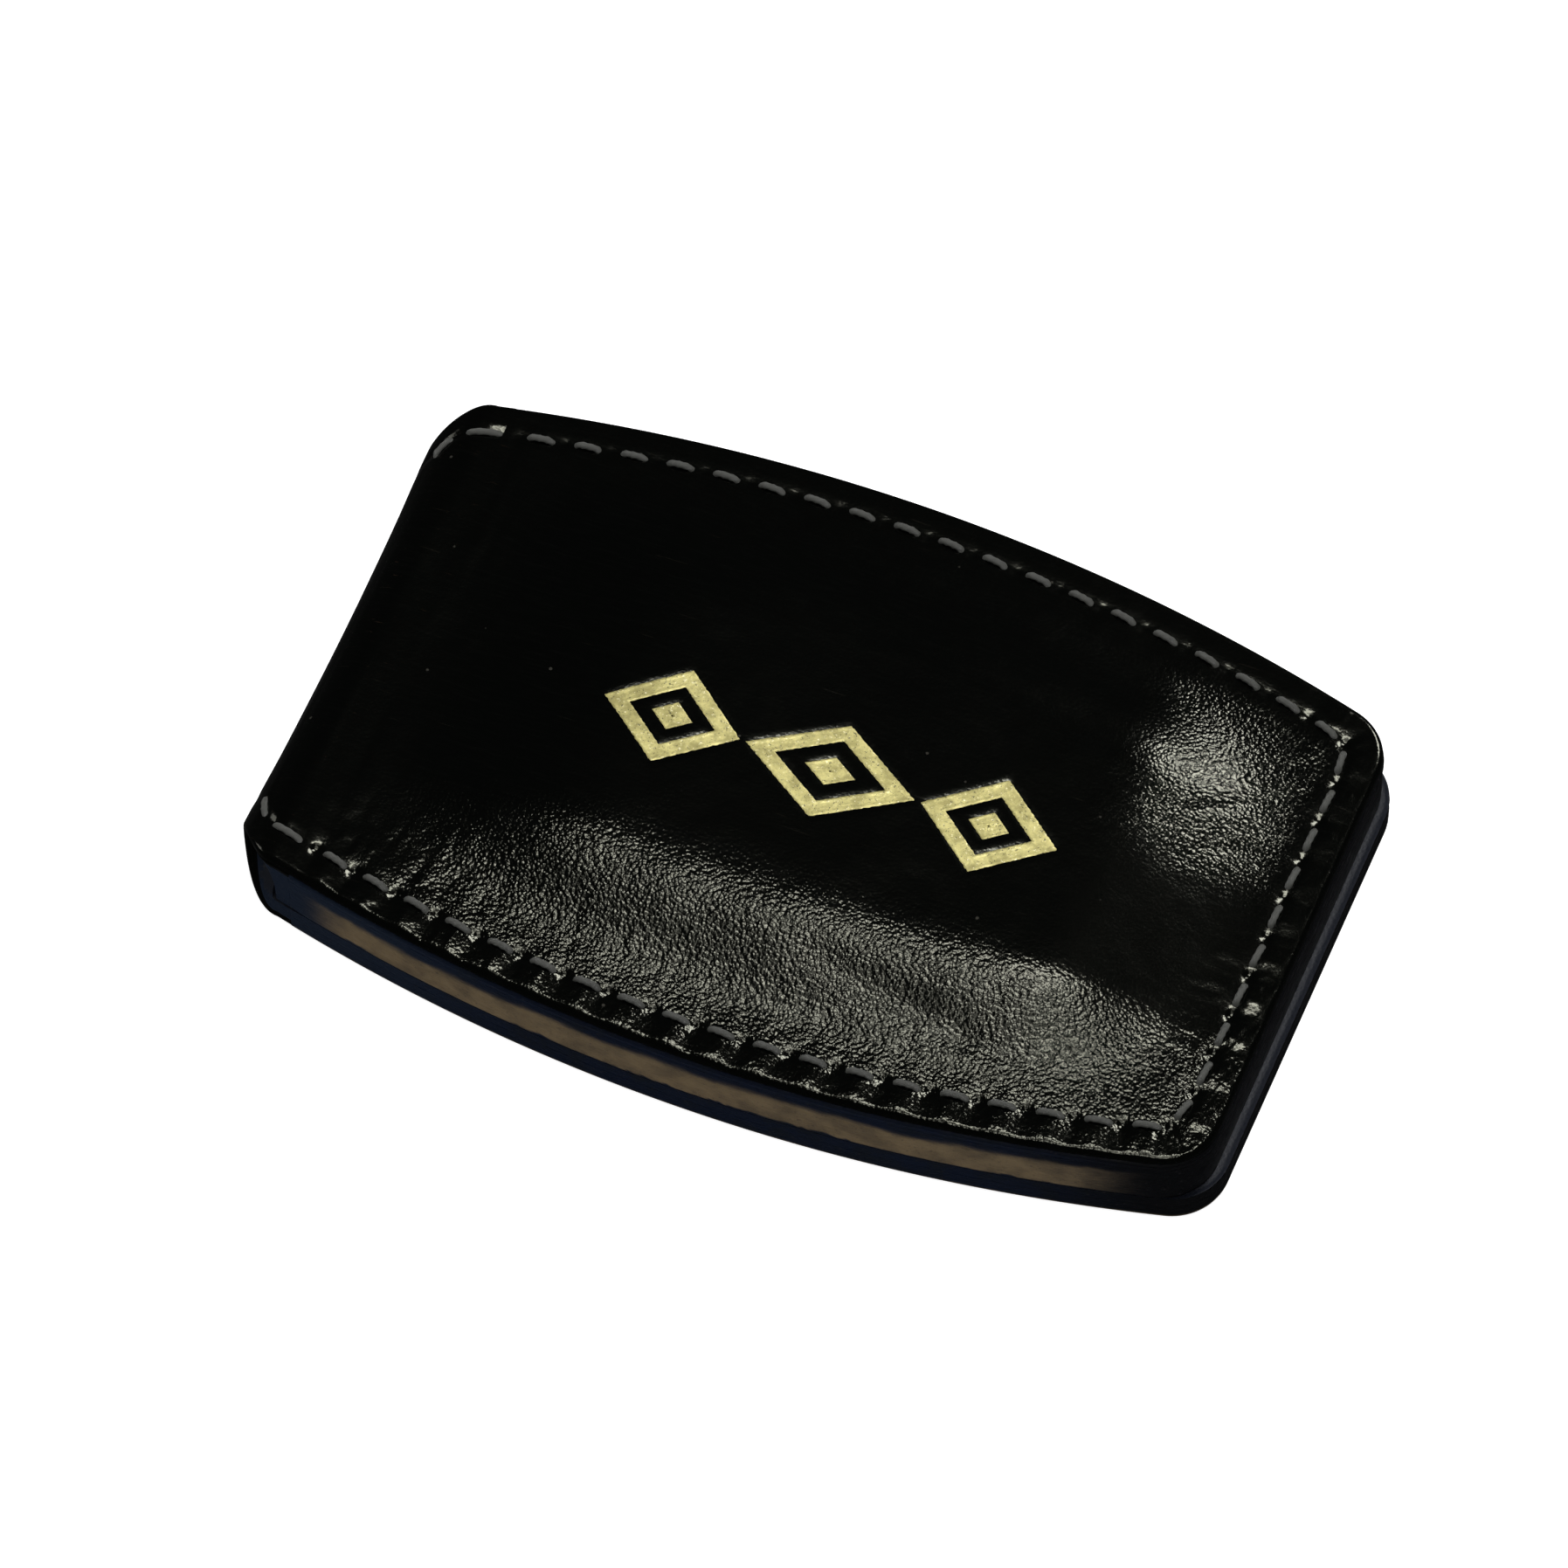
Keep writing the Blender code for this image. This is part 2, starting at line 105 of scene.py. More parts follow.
LIP = 0.55 * MM  # how far in from its edge the leather rounds off
LIP_DROP = 0.42 * MM
THREAD_RADIUS = 0.25 * MM
STITCH_DIVE = 0.75 * MM  # how deep a stitch's two ends go into their holes
STITCH_GAP = 0.19  # share of the pitch left clear at each end of a stitch
SEAM_WIDTH = 0.5 * MM  # half width of the dent along a seam
STROKE = 1.15 * MM  # width of the gilt bars
COVER_BEND = 0.85 * MM  # half length over which the fold's leather bends at a joint
LINING_BEND = 0.055 * MM
LINING_FILL = 3.72 * MM  # how deep the lining fills the fold


# ---- Numbers: smooth steps and seeded noise ----


def smooth(low, high, value):
    share = np.clip((value - low) / (high - low), 0, 1)
    return share * share * (3 - 2 * share)


def ease(low, high, value):
    """A smooth step between two lengths in millimetres, of a value in metres."""
    return smooth(low * MM, high * MM, value)


def smoother(low, high, value):
    """Like ease, but its curvature also starts and ends at nothing."""
    share = np.clip((value - low * MM) / ((high - low) * MM), 0, 1)
    return share**3 * (share * (6 * share - 15) + 10)


def bell(value, width):
    return np.exp(-((value / width) ** 2))


def unit(vectors):
    return vectors / np.linalg.norm(vectors, axis=1)[:, None]


class Noise:
    """Value noise on a repeating lattice, the same each run."""

    def __init__(self, seed, size=256):
        self.size = size
        self.lattice = np.random.RandomState(seed).uniform(-1.0, 1.0, (size, size))

    def __call__(self, x, y):
        column, row = np.floor(x), np.floor(y)
        fx, fy = x - column, y - row
        fx, fy = fx * fx * (3 - 2 * fx), fy * fy * (3 - 2 * fy)
        i, j = column.astype(int) % self.size, row.astype(int) % self.size
        i2, j2 = (i + 1) % self.size, (j + 1) % self.size
        grid = self.lattice
        low = grid[i, j] * (1 - fx) + grid[i2, j] * fx
        high = grid[i, j2] * (1 - fx) + grid[i2, j2] * fx
        return low * (1 - fy) + high * fy

    def mm(self, x, y, long, wide=None, shift=(0, 0)):
        """Noise over lengths in metres, with cells that measure long by wide mm."""
        wide = long if wide is None else wide
        return self(x / (long * MM) + shift[0], y / (wide * MM) + shift[1])


SWELL = Noise(11)
FINE = Noise(23)
PUCKER = Noise(37)
RAGGED = Noise(51)


# ---- The plan of a leaf ----


def side_circle():
    """Centre and radius of the long side's arc, on the +Y side."""
    start = np.array([FOLD_OUTSIDE_X, FOLD_END_HALF_WIDTH])
    end = np.array([UPPER_FREE_X, FREE_END_HALF_WIDTH])
    chord = end - start
    length = np.hypot(*chord)
    radius = length**2 / (8 * SIDE_BOW) + SIDE_BOW / 2
    outwards = np.array([-chord[1], chord[0]]) / length
    return (start + end) / 2 - outwards * (radius - SIDE_BOW), radius


SIDE_CENTRE, SIDE_RADIUS = side_circle()


def half_width(x):
    return SIDE_CENTRE[1] + np.sqrt(SIDE_RADIUS**2 - (x - SIDE_CENTRE[0]) ** 2)


def corner_centre(free_x):
    x = free_x - CORNER_RADIUS
    reach = SIDE_RADIUS - CORNER_RADIUS
    return np.array([x, SIDE_CENTRE[1] + math.sqrt(reach**2 - (x - SIDE_CENTRE[0]) ** 2)])


def path_length(points):
    """Distance along a path at each of its points."""
    return np.concatenate([[0], np.cumsum(np.hypot(*np.diff(points, axis=0).T))])


def at_length(distance, length, values):
    """A path's two-column values at the given distances along it."""
    return np.stack([np.interp(distance, length, values[:, k]) for k in (0, 1)], 1)


def mirrored(pairs):
    return pairs * [1.0, -1.0]


def both_sides(half):
    """A path from the near side round the free end to the far side, from its +Y half."""
    return np.concatenate([mirrored(half), half[::-1][1:]])


def half_edge(left, free_x):
    """The +Y half of a leaf's edge from its left end: points, outward normals, length, corner."""
    corner = corner_centre(free_x)
    start = math.atan2(half_width(left) - SIDE_CENTRE[1], left - SIDE_CENTRE[0])
    meet = math.atan2(*(corner - SIDE_CENTRE)[::-1])
    along_side = np.linspace(start, meet, 400)
    round_corner = np.linspace(meet, 0.0, 120)[1:]
    down_end = np.linspace(corner[1], 0.0, 160)[1:]
    turns = np.concatenate([along_side, round_corner])
    normals = np.stack([np.cos(turns), np.sin(turns)], 1)
    side = SIDE_CENTRE + SIDE_RADIUS * normals[: len(along_side)]
    arc = corner + CORNER_RADIUS * normals[len(along_side):]
    end = np.stack([np.full(len(down_end), free_x), down_end], 1)
    points = np.concatenate([side, arc, end])
    normals = np.concatenate([normals, np.tile([1.0, 0.0], (len(end), 1))])
    length = path_length(points)
    middle = length[len(along_side) + len(round_corner) // 2]
    return points, normals, length, middle


def read_edge(edge, distance):
    points, normals, length, _ = edge
    return at_length(distance, length, points), unit(at_length(distance, length, normals))


def edge_distance(x, y, free_x):
    """How far a point of the plan lies in from the leaf's edge, the fold's side left out."""
    y = np.abs(y)
    corner = corner_centre(free_x)
    to_side = SIDE_RADIUS - np.hypot(x - SIDE_CENTRE[0], y - SIDE_CENTRE[1])
    dx, dy = x - corner[0], y - corner[1]
    spoke = corner - SIDE_CENTRE
    in_corner = (dx > 0) & (spoke[0] * dy - spoke[1] * dx < 0) & (dy > 0)
    to_corner = CORNER_RADIUS - np.hypot(dx, dy)
    return np.where(in_corner, to_corner, np.minimum(to_side, free_x - x))


def graded(length, fine, coarse, first, last):
    """Fractions from 0 to 1: fine steps over the first and last stretch, coarse between."""
    steps = [0.0]
    while steps[-1] < length:
        at = steps[-1]
        near = min(max(at - first, 0.0), max(length - last - at, 0.0))
        steps.append(at + min(fine + 0.15 * near, coarse))
    return np.array(steps) / steps[-1]


def plan_grid(left, free_x, fine, coarse):
    """A grid of plan points that fits the leaf's edge, with the edge's normals.

    The grid's four corners are the fold's two ends and the middles of the two
    rounded corners. It is a Coons patch between the four sides.
    """
    edge = half_edge(left, free_x)
    length, middle = edge[2], edge[3]
    half = length[-1] - middle
    u = graded(middle, fine, coarse, 0.0, 5 * MM)
    v = graded(2 * half, fine, coarse, 4 * MM, 4 * MM)
    far, far_normal = read_edge(edge, u * middle)
    sides = np.stack([np.ones_like(v), np.where(v < 0.5, -1.0, 1.0)], 1)
    free_end = read_edge(edge, length[-1] - np.abs(2 * v - 1) * half)
    right, right_normal = (part * sides for part in free_end)
    near, near_normal = mirrored(far), mirrored(far_normal)
    left_side = near[0] * (1 - v)[:, None] + far[0] * v[:, None]
    uu, vv = u[:, None, None], v[None, :, None]
    grid = (
        near[:, None] * (1 - vv) + far[:, None] * vv
        + left_side[None] * (1 - uu) + right[None] * uu
        - near[0] * (1 - uu) * (1 - vv) - near[-1] * uu * (1 - vv)
        - far[0] * (1 - uu) * vv - far[-1] * uu * vv
    )
    return grid, near_normal, right_normal, far_normal


# ---- Seams ----


def seam(free_x):
    """A seam's needle holes, the outward directions there, and its line with lengths."""
    points, normals = half_edge(JOIN_X + 0.5 * MM, free_x)[:2]
    points = both_sides(points - normals * STITCH_INSET)
    length = path_length(points)
    count = int(round(length[-1] / STITCH_PITCH))
    at = np.linspace(0, length[-1], count + 1)
    outwards = unit(at_length(at, length, both_sides(normals)))
    return at_length(at, length, points), outwards, (points, length)


UPPER_SEAM = seam(UPPER_FREE_X)
LOWER_SEAM = seam(LOWER_FREE_X)


def along_seam(x, y, line):
    """How far along the seam the nearest point lies, for every point of the plan."""
    points, length = line[0][::3], line[1][::3]
    found = np.zeros(x.size)
    flat_x, flat_y = x.ravel(), y.ravel()
    for first in range(0, x.size, 4000):
        part = slice(first, first + 4000)
        gap = (flat_x[part, None] - points[None, :, 0]) ** 2
        gap += (flat_y[part, None] - points[None, :, 1]) ** 2
        found[part] = length[np.argmin(gap, 1)]
    return found.reshape(x.shape)


def hole_distance(x, y, holes):
    best = np.full(x.shape, 1.0)
    for hole in holes:
        best = np.minimum(best, np.hypot(x - hole[0], y - hole[1]))
    return best


# ---- Heights ----


def rim_drop(inset):
    """How far the leather has curved down at a distance in from its edge."""
    roll = np.clip(1 - inset / LIP, 0, 1)
    slope = 0.03 * MM * (1 - ease(0, 2, inset))
    return slope + LIP_DROP * (1 - np.sqrt(np.clip(1 - roll**2, 0, 1)) * 0.999) * roll


def dome(x, y):
    """The padded middle: it swells from the seam, and more slowly from the fold and the end."""
    side = SIDE_RADIUS - np.hypot(x - SIDE_CENTRE[0], np.abs(y) - SIDE_CENTRE[1])
    near = smoother(2.6, 14.2, side)
    end = smoother(2.2, 17.0, UPPER_FREE_X - x)
    fold = smoother(0.0, 20.0, x - JOIN_X)
    crown = 0.9 + 0.1 * (1 - (x / (34 * MM)) ** 2) * (1 - (y / (22 * MM)) ** 2)
    return DOME_RISE * near * end * fold * crown


def line_distance(x, y, start, end):
    """Distance from a straight line, and the share along it from start to end."""
    start, end = np.array(start) * MM, np.array(end) * MM
    run = end - start
    share = ((x - start[0]) * run[0] + (y - start[1]) * run[1]) / (run @ run)
    away = ((x - start[0]) * -run[1] + (y - start[1]) * run[0]) / np.hypot(*run)
    return away, share


# Creases of the upper cover: start, end (mm), half width (mm), height (mm)
CREASES = (
    ((1.5, -13.2), (21.5, -15.6), 1.1, -0.1),
    ((6.0, -16.4), (24.0, -16.9), 0.8, 0.05),
    ((-15.0, 12.6), (14.0, 10.4), 1.3, 0.055),
    ((22.0, 8.0), (31.5, 14.6), 0.5, -0.05),
    ((23.5, 6.0), (32.0, 11.8), 0.45, -0.045),
    ((25.5, 3.6), (32.4, 8.0), 0.45, -0.035),
    ((-25.5, -9.5), (-16.0, -12.0), 0.6, 0.03),
)


def creases(x, y):
    total = np.zeros_like(x)
    for start, end, width, height in CREASES:
        wander = 0.35 * MM * SWELL.mm(x, y, 5, shift=(width * 9, 0))
        away, share = line_distance(x, y, start, end)
        fade = smooth(0.0, 0.25, share) * smooth(1.0, 0.75, share)
        total += height * MM * fade * bell(away + wander, width * MM)
    return total


def needlework(x, y, inset, stitches, strength):
    """Dents of the seam and the puckers that its pull leaves on both sides."""
    holes, _, line = stitches
    run = along_seam(x, y, line)
    hole = hole_distance(x, y, holes)
    depth = (0.02 + 0.24 * strength) * MM
    dent = -0.04 * MM * bell(inset - STITCH_INSET, SEAM_WIDTH) - depth * bell(hole, 0.3 * MM)
    pull = -0.07 * MM * bell(hole, 1.1 * MM) * strength
    margin = ease(0.15, 0.7, inset) * ease(2.4, 1.9, inset)
    ribs = PUCKER.mm(run, inset, 0.36, 1.5)
    ribs += 0.6 * PUCKER.mm(run, inset, 0.2, 0.6, (40, 0))
    inner = ease(2.9, 3.6, inset) * ease(10.5, 4.5, inset)
    folds = PUCKER.mm(run, inset, 0.5, 2.2, (90, 7))
    folds += 0.7 * PUCKER.mm(run, inset, 0.27, 0.9, (10, 3))
    swell = np.cos(2 * np.pi * run / (line[1][-1] / (len(holes) - 1)))
    total = dent + pull - 0.05 * MM * swell * margin * strength
    return total + strength * (0.032 * MM * ribs * margin + 0.024 * MM * folds * inner)


def upper_cover_height(x, y):
    """Height of the upper leaf's outer leather, before the gilt mark is pressed in."""
    inset = edge_distance(x, y, UPPER_FREE_X)
    strength = np.maximum(ease(6, -8, y), 0.45 * ease(26, 31, x))
    work = needlework(x, y, inset, UPPER_SEAM, 0.12 + 0.88 * strength)
    waves = 0.07 * MM * SWELL.mm(x, y, 9)
    waves += 0.022 * MM * SWELL.mm(x, y, 3.1, shift=(50, 0))
    waves += 0.008 * MM * FINE.mm(x, y, 1.1)
    bends = 0.02 * MM * FINE.mm(x, y, 0.8, 9) * ease(-22, -30, x)
    detail = work + (waves + creases(x, y) + bends) * ease(0.4, 3.5, inset)
    return RIM_Z - rim_drop(inset) + dome(x, y) + detail * ease(0, 1.5, x - JOIN_X)


# ---- Meshes ----


def add_object(name, data):
    thing = bpy.data.objects.new(name, data)
    bpy.context.scene.collection.objects.link(thing)
    return thing


def make_piece(name, verts, faces, surface, uv, dye=None, sharp=50.0):
    mesh = bpy.data.meshes.new(name)
    mesh.from_pydata(np.asarray(verts, float).tolist(), [], faces)
    mesh.materials.append(surface)
    if dye is not None:
        layer = mesh.attributes.new("dye", "FLOAT", "POINT")
        layer.data.foreach_set("value", np.asarray(dye, np.float32))
    layer = mesh.uv_layers.new(name="hide")
    corners = np.zeros(len(mesh.loops), np.int32)
    mesh.loops.foreach_get("vertex_index", corners)
    layer.data.foreach_set("uv", np.asarray(uv, np.float32)[corners].ravel())
    mesh.validate()
    mesh.shade_smooth()
    mesh.set_sharp_from_angle(angle=math.radians(sharp))
    return add_object(name, mesh)


def numbered(rows, columns):
    return np.arange(rows * columns).reshape(rows, columns)


def tube_faces(rings, sides):
    """Faces of a closed tube, its two ends included."""
    index = numbered(rings, sides)
    after = np.roll(index, -1, 1)
    quads = np.stack([index[:-1], after[:-1], after[1:], index[1:]], -1).reshape(-1, 4)
    return [*quads.tolist(), index[0, ::-1].tolist(), index[-1].tolist()]


def leaf_piece(name, free_x, face, back, wall, surface, steps, dye, edge_from=0):
    """One layer of a leaf: a shaped face, a rounded edge wall and a shaped back.

    face and back give heights, and wall the edge's rings. steps are the finest
    and coarsest steps of the mesh in mm. dye gives the stain. From its ring
    edge_from down, the wall has the material of a cut edge.
    """
    grid, near_normal, right_normal, far_normal = plan_grid(
        JOIN_X, free_x, steps[0] * MM, steps[1] * MM
    )
    index = numbered(*grid.shape[:2])
    border = [index[:, 0], index[-1, 1:], index[::-1, -1][1:], index[0, ::-1][1:-1]]
    loop = np.concatenate(border)
    quads = np.stack([index[:-1, :-1], index[1:, :-1], index[1:, 1:], index[:-1, 1:]], -1)
    quads = quads.reshape(-1, 4)
    x, y = grid[..., 0], grid[..., 1]
    top = np.dstack([grid, face(x, y)]).reshape(-1, 3)
    under = np.dstack([grid, back(x, y)]).reshape(-1, 3)
    up = top[:, 2].mean() > under[:, 2].mean()
    fold_side = np.zeros((len(border[3]), 2))
    facing = np.concatenate([near_normal, right_normal[1:], far_normal[::-1][1:], fold_side])
    facing[0] = facing[-len(fold_side) - 1] = 0.0
    rim, foot = top[loop], under[loop]
    run = path_length(rim[:, :2]) / MM
    walled = np.hypot(*facing.T)
    tall = abs(rim[0, 2] - foot[0, 2]) / MM
    verts, uv = [top, under], [top[:, :2] / MM, under[:, :2] / MM + 31.0]
    faces = [quads[:, :: 1 if up else -1], quads[:, :: -1 if up else 1] + len(top)]
    rings = [loop]
    for number, (share, outward) in enumerate(wall):
        ring = rim * (1 - share) + foot * share
        wobble = 0.018 * RAGGED(run / 0.7, np.full_like(run, share * 4 + 2 * tall))
        wobble += 0.01 * RAGGED(run / 0.25, np.full_like(run, share * 9))
        ring[:, :2] += facing * (outward + wobble * walled)[:, None] * MM
        verts.append(ring)
        uv.append(rim[:, :2] / MM + facing * share * tall)
        rings.append(2 * len(top) + number * len(loop) + np.arange(len(loop)))
    rings.append(loop + len(top))
    for last, this in zip(rings, rings[1:]):
        quads = np.stack([last, this, np.roll(this, -1), np.roll(last, -1)], 1)
        faces.append(quads[:, :: 1 if up else -1])
    verts = np.concatenate(verts)
    piece = make_piece(
        name, verts, np.concatenate(faces).tolist(), surface, np.concatenate(uv), dye(*verts.T)
    )
    piece.data.materials.append(EDGE)
    for polygon in piece.data.polygons[2 * len(faces[0]) + edge_from * len(loop):]:
        polygon.material_index = 1
    return piece


def band_piece(name, free_x, heights, dye):
    """The filler strip round three sides of a leaf, showing as a band of its edge."""
    low, high = heights
    edge = half_edge(JOIN_X, free_x)
    length = edge[2][-1]
    points, normals = read_edge(edge, np.linspace(0, length, int(length / (0.25 * MM))))
    points, normals = both_sides(points), both_sides(normals)
    bulge = 0.02 * MM * np.sin(np.pi * np.linspace(0.1, 0.9, 8))
    section = list(zip(bulge, np.linspace(low, high, 8)))
    section += [(-1.8 * MM, high), (-3.5 * MM, high), (-3.5 * MM, low), (-1.8 * MM, low)]
    run = np.arange(len(points)) * 0.25
    verts, uv = [], []
    for number, (outward, height) in enumerate(section):
        wobble = 0.02 * MM * RAGGED(run / 0.7, np.full(len(run), number * 1.7)) * (number < 8)
        ring = points + normals * (outward + wobble)[:, None]
        verts.append(np.stack([ring[:, 0], ring[:, 1], np.full(len(run), height)], 1))
        uv.append(np.stack([run, np.full(len(run), number * 0.2)], 1))
    verts = np.stack(verts, 1).reshape(-1, 3)
    uv = np.stack(uv, 1).reshape(-1, 2)
    faces = tube_faces(len(points), len(section))
    return make_piece(name, verts, faces, EDGE, uv, dye(*verts.T))


def flat(height):
    return lambda x, y: np.full_like(x, height)


# ---- Dye of the edges: 1 is blue-black, 0 is bare tan leather; on the upper leaf's edge that tan is a painted warm reflection ----


def upper_dye_and_painted_reflection(x, y, z):
    """Blue-black down to the middle of the lining's edge, and again near both ends. The tan below
    is a painted warm reflection, which stops near both ends.
    """
    run = (x + np.abs(y)) / MM
    waver = 0.22 * SWELL(run / 4.1, z * 0) + 0.14 * FINE(run / 1.2, z / (0.5 * MM))
    level = (RIM_Z - z) / MM + waver
    # Painted reflection: where this falls to 0 the edge shows tan, which stands for a warm
    # reflection in the glossy edge.
    stain = 1 - smooth(1.7, 3.1, level)
    foot = smooth(4.95, 5.2, level + 0.12 * FINE(run / 0.35, z * 0 + 3))
    # The painted tan reflection fades out towards both ends, so the edge is blue-black there.
    ends = np.maximum(ease(22, 33.5, x), ease(-24, -31, x))
    inset = edge_distance(x, y, UPPER_FREE_X)
    inner = ease(0.9, 0.35, inset + 0.2 * MM * FINE(run / 0.8, z * 0))
    face = z < UPPER_LINING[0] + 0.02 * MM
    return np.where(face, inner, np.maximum(np.maximum(stain, foot), ends))


def lower_dye(x, y, z):
    """The thin lower leaf's edge is blue-black all over, and so is a line on its lining."""
    run = (x + np.abs(y)) / MM
    inset = edge_distance(x, y, LOWER_FREE_X)
    inner = ease(1.7, 1.1, inset + 0.2 * MM * FINE(run / 0.8, z * 0))
    return np.where(z > LOWER_LINING[1] - 0.02 * MM, inner, 1.0)


def cover_grain(x, y, z):
    """How bold the pebbles are: fine on the flat, bolder where the leather is stretched.

    On the cut edge below the rim the same numbers are dye, and it is all dyed.
    """
    inset = edge_distance(x, y, UPPER_FREE_X)
    near = ease(-6.5, -12, y) * (0.4 + 0.6 * ease(2, 3.4, inset))
    end = 0.8 * ease(17, 23, x) * ease(0, 6, y) * ease(2.6, 4.4, inset)
    grain = 0.14 + 0.86 * np.maximum(near, end) * ease(-29, -15, x)
    return np.where(z < RIM_Z - LIP, 1.0, grain)


def lower_grain(x, y, z):
    return np.where(z > 0.5 * MM, 1.0, 0.5)


# ---- The fold: one strip of leather with its lining, unrolled along its outside ----


def strip_angle(along):
    return np.clip((along - JOIN) / FOLD_RADIUS, 0, math.pi)


def strip_place(along, depth):
    """x and z of a point of the strip, at a depth below its outer surface."""
    turn = strip_angle(along)
    radius = FOLD_RADIUS - depth
    x = FOLD_X - radius * np.sin(turn)
    z = FOLD_RADIUS - radius * np.cos(turn)
    return x + np.maximum(JOIN - along, 0) + np.maximum(along - JOIN - ARC, 0), z


def strip_half_width(along):
    x, _ = strip_place(along, np.zeros_like(along))
    bow = half_width(np.maximum(x, FOLD_X))
    return bow - FOLD_NARROWING * np.sin(strip_angle(along)) ** 2


def lining_depth(along):
    """The lining reaches as deep as the leaves do at both ends, and fills the fold."""
    turn = np.degrees(strip_angle(along))
    depth = LOWER_LINING[1] + (LINING_FILL - LOWER_LINING[1]) * smooth(8, 55, turn)
    return depth + (RIM_Z - UPPER_LINING[0] - LINING_FILL) * smooth(171, 180, turn)


def strip_height(along, y, half):
    """Shape of the outer surface: the drop at its edges, and small marks of use."""
    inset = half - np.abs(y)
    hollow = np.sin(strip_angle(along)) ** 2 * (0.32 - 0.42 * (y / half) ** 2) * MM
    folds = 0.03 * MM * FINE.mm(along, y, 0.55, 7)
    folds += 0.04 * MM * SWELL.mm(along, y, 2.2, 8, (0, 20))
    folds *= ease(0, 2.5, along) * smooth(STRIP, STRIP - 2.5 * MM, along)
    on_leaf = smooth(0.1, 0.3, np.abs(along / ARC - 0.5))
    seam_dent = 0.12 * MM * bell(inset - STITCH_INSET, SEAM_WIDTH) * on_leaf
    return rim_drop(inset) + hollow + folds * ease(0.3, 2, inset) + seam_dent


# The strip's edge walls: (share of the way down, outward offset in mm)
COVER_EDGE = (
    (0.08, -0.01), (0.2, -0.06), (0.32, 0.05), (0.42, 0.07), (0.52, 0.05), (0.66, 0.02),
    (0.85, 0.0),
)
LINING_EDGE = ((0.04, 0.01), (0.2, 0.02), (0.4, 0.0), (0.6, 0.02), (0.8, 0.0), (0.95, -0.06))


def strip_piece(name, first, last, layer, surface):
    """A stretch of the strip, as a closed slab. layer is "cover" or "lining"."""
    count = max(int((last - first) / (0.16 * MM)), 10)
    along = np.linspace(first, last, count + 1)
    half = strip_half_width(along)[:, None]
    share = graded(2 * float(half.mean()), 0.13 * MM, 0.4 * MM, 3.4 * MM, 3.4 * MM)
    y = (2 * share[None, :] - 1) * half
    s = np.repeat(along[:, None], y.shape[1], 1)
    if layer == "cover":
        top = strip_height(s, y, half)
        under = np.full_like(s, FOLD_LEATHER)
        edge = COVER_EDGE
    else:
        top = np.full_like(s, FOLD_LEATHER + 0.004 * MM)
        under = lining_depth(s) - 0.02 * MM * FINE.mm(s, y, 0.7, 3)
        edge = LINING_EDGE
    wall = [(top * (1 - down) + under * down, out * MM) for down, out in edge]
    depth = np.concatenate(
        [level[:, :1] for level, _ in reversed(wall)] + [top]
        + [level[:, -1:] for level, _ in wall] + [under[:, ::-1]], 1
    )
    width = np.concatenate(
        [y[:, :1] - out for _, out in reversed(wall)] + [y]
        + [y[:, -1:] + out for _, out in wall] + [y[:, ::-1]], 1
    )
    length = np.repeat(along[:, None], depth.shape[1], 1)
    x, z = strip_place(length, depth)
    verts = np.stack([x, width, z], -1).reshape(-1, 3)
    rim = half * 0.9999
    past = np.maximum(np.abs(width) - rim, 0) / MM
    past += (depth - depth.min()) / MM * (np.abs(width) > rim)
    uv = np.stack([(JOIN_X - STRIP + length) / MM, width / MM + np.sign(width) * past], -1)
    tip = half - np.abs(width) + 0.2 * MM * FINE(length / (0.8 * MM), width / MM)
    stain = 1 - ease(1.1, 1.9, tip) * (depth > 1.6 * MM)
    if layer == "cover":
        stain = np.full_like(stain, 0.12)
    faces = tube_faces(count + 1, depth.shape[1])
    piece = make_piece(name, verts, faces, surface, uv.reshape(-1, 2), stain.ravel())
    if layer == "lining":
        piece.data.materials.append(FOLD_EDGE)
        for polygon in piece.data.polygons:
            polygon.material_index = int(abs(polygon.normal.y) > 0.6)
    return piece


def joint_line(number):
    """Where joint number (1 is the lower leaf's) crosses the strip's length."""
    return JOIN + (number - 1) * SEGMENT_ARC


def bend(piece):
    """Bake a piece's placement into its mesh."""
    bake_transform(piece)


# ---- Stitches ----


def thread_run(start, end, lift, outwards, seed, up=1.0):
    """One stitch: a twisted thread that comes out of one needle hole and goes into the next."""
    rings, sides = 22, 14
    rng = np.random.RandomState(seed)
    share = np.linspace(0, 1.0, rings)
    lean = rng.uniform(0.03, 0.1) * MM
    line = start[None] * (1 - share)[:, None] + end[None] * share[:, None]
    line[:, :2] += outwards[None] * (lean * (2 * share - 1))[:, None]
    dive = STITCH_DIVE * np.abs(2 * share - 1) ** 4.5
    line[:, 2] += up * (lift + rng.uniform(-0.03, 0.03) * MM - dive)
    tangent = unit(np.gradient(line, axis=0))
    side = unit(np.cross(tangent, [0.0, 0.0, up]))
    top = np.cross(side, tangent)
    around = np.linspace(0, 2 * np.pi, sides, endpoint=False)
    twist = 2 * np.pi * (share * 1.9 + rng.uniform(0, 1))
    lobes = 1 - 0.17 * np.abs(np.sin(around[None] - twist[:, None])) ** 0.7
    lobes += 0.03 * rng.uniform(-1, 1, (rings, sides))
    spread = THREAD_RADIUS * lobes
    ring = side[:, None] * (np.cos(around)[None] * spread * 1.12)[..., None]
    ring = ring + top[:, None] * (np.sin(around)[None] * spread * 0.85)[..., None]
    verts = (line[:, None] + ring).reshape(-1, 3)
    uv = np.stack(np.broadcast_arrays(share[:, None] * 2.6, around[None] / (2 * np.pi)), -1)
    return verts, tube_faces(rings, sides), uv.reshape(-1, 2)


def joined(runs):
    """The verts, faces and UVs of several stitches, put together."""
    faces, count = [], 0
    for verts, run_faces, _ in runs:
        faces += [[i + count for i in face] for face in run_faces]
        count += len(verts)
    verts, _, uv = zip(*runs)
    return np.concatenate(verts), faces, np.concatenate(uv)


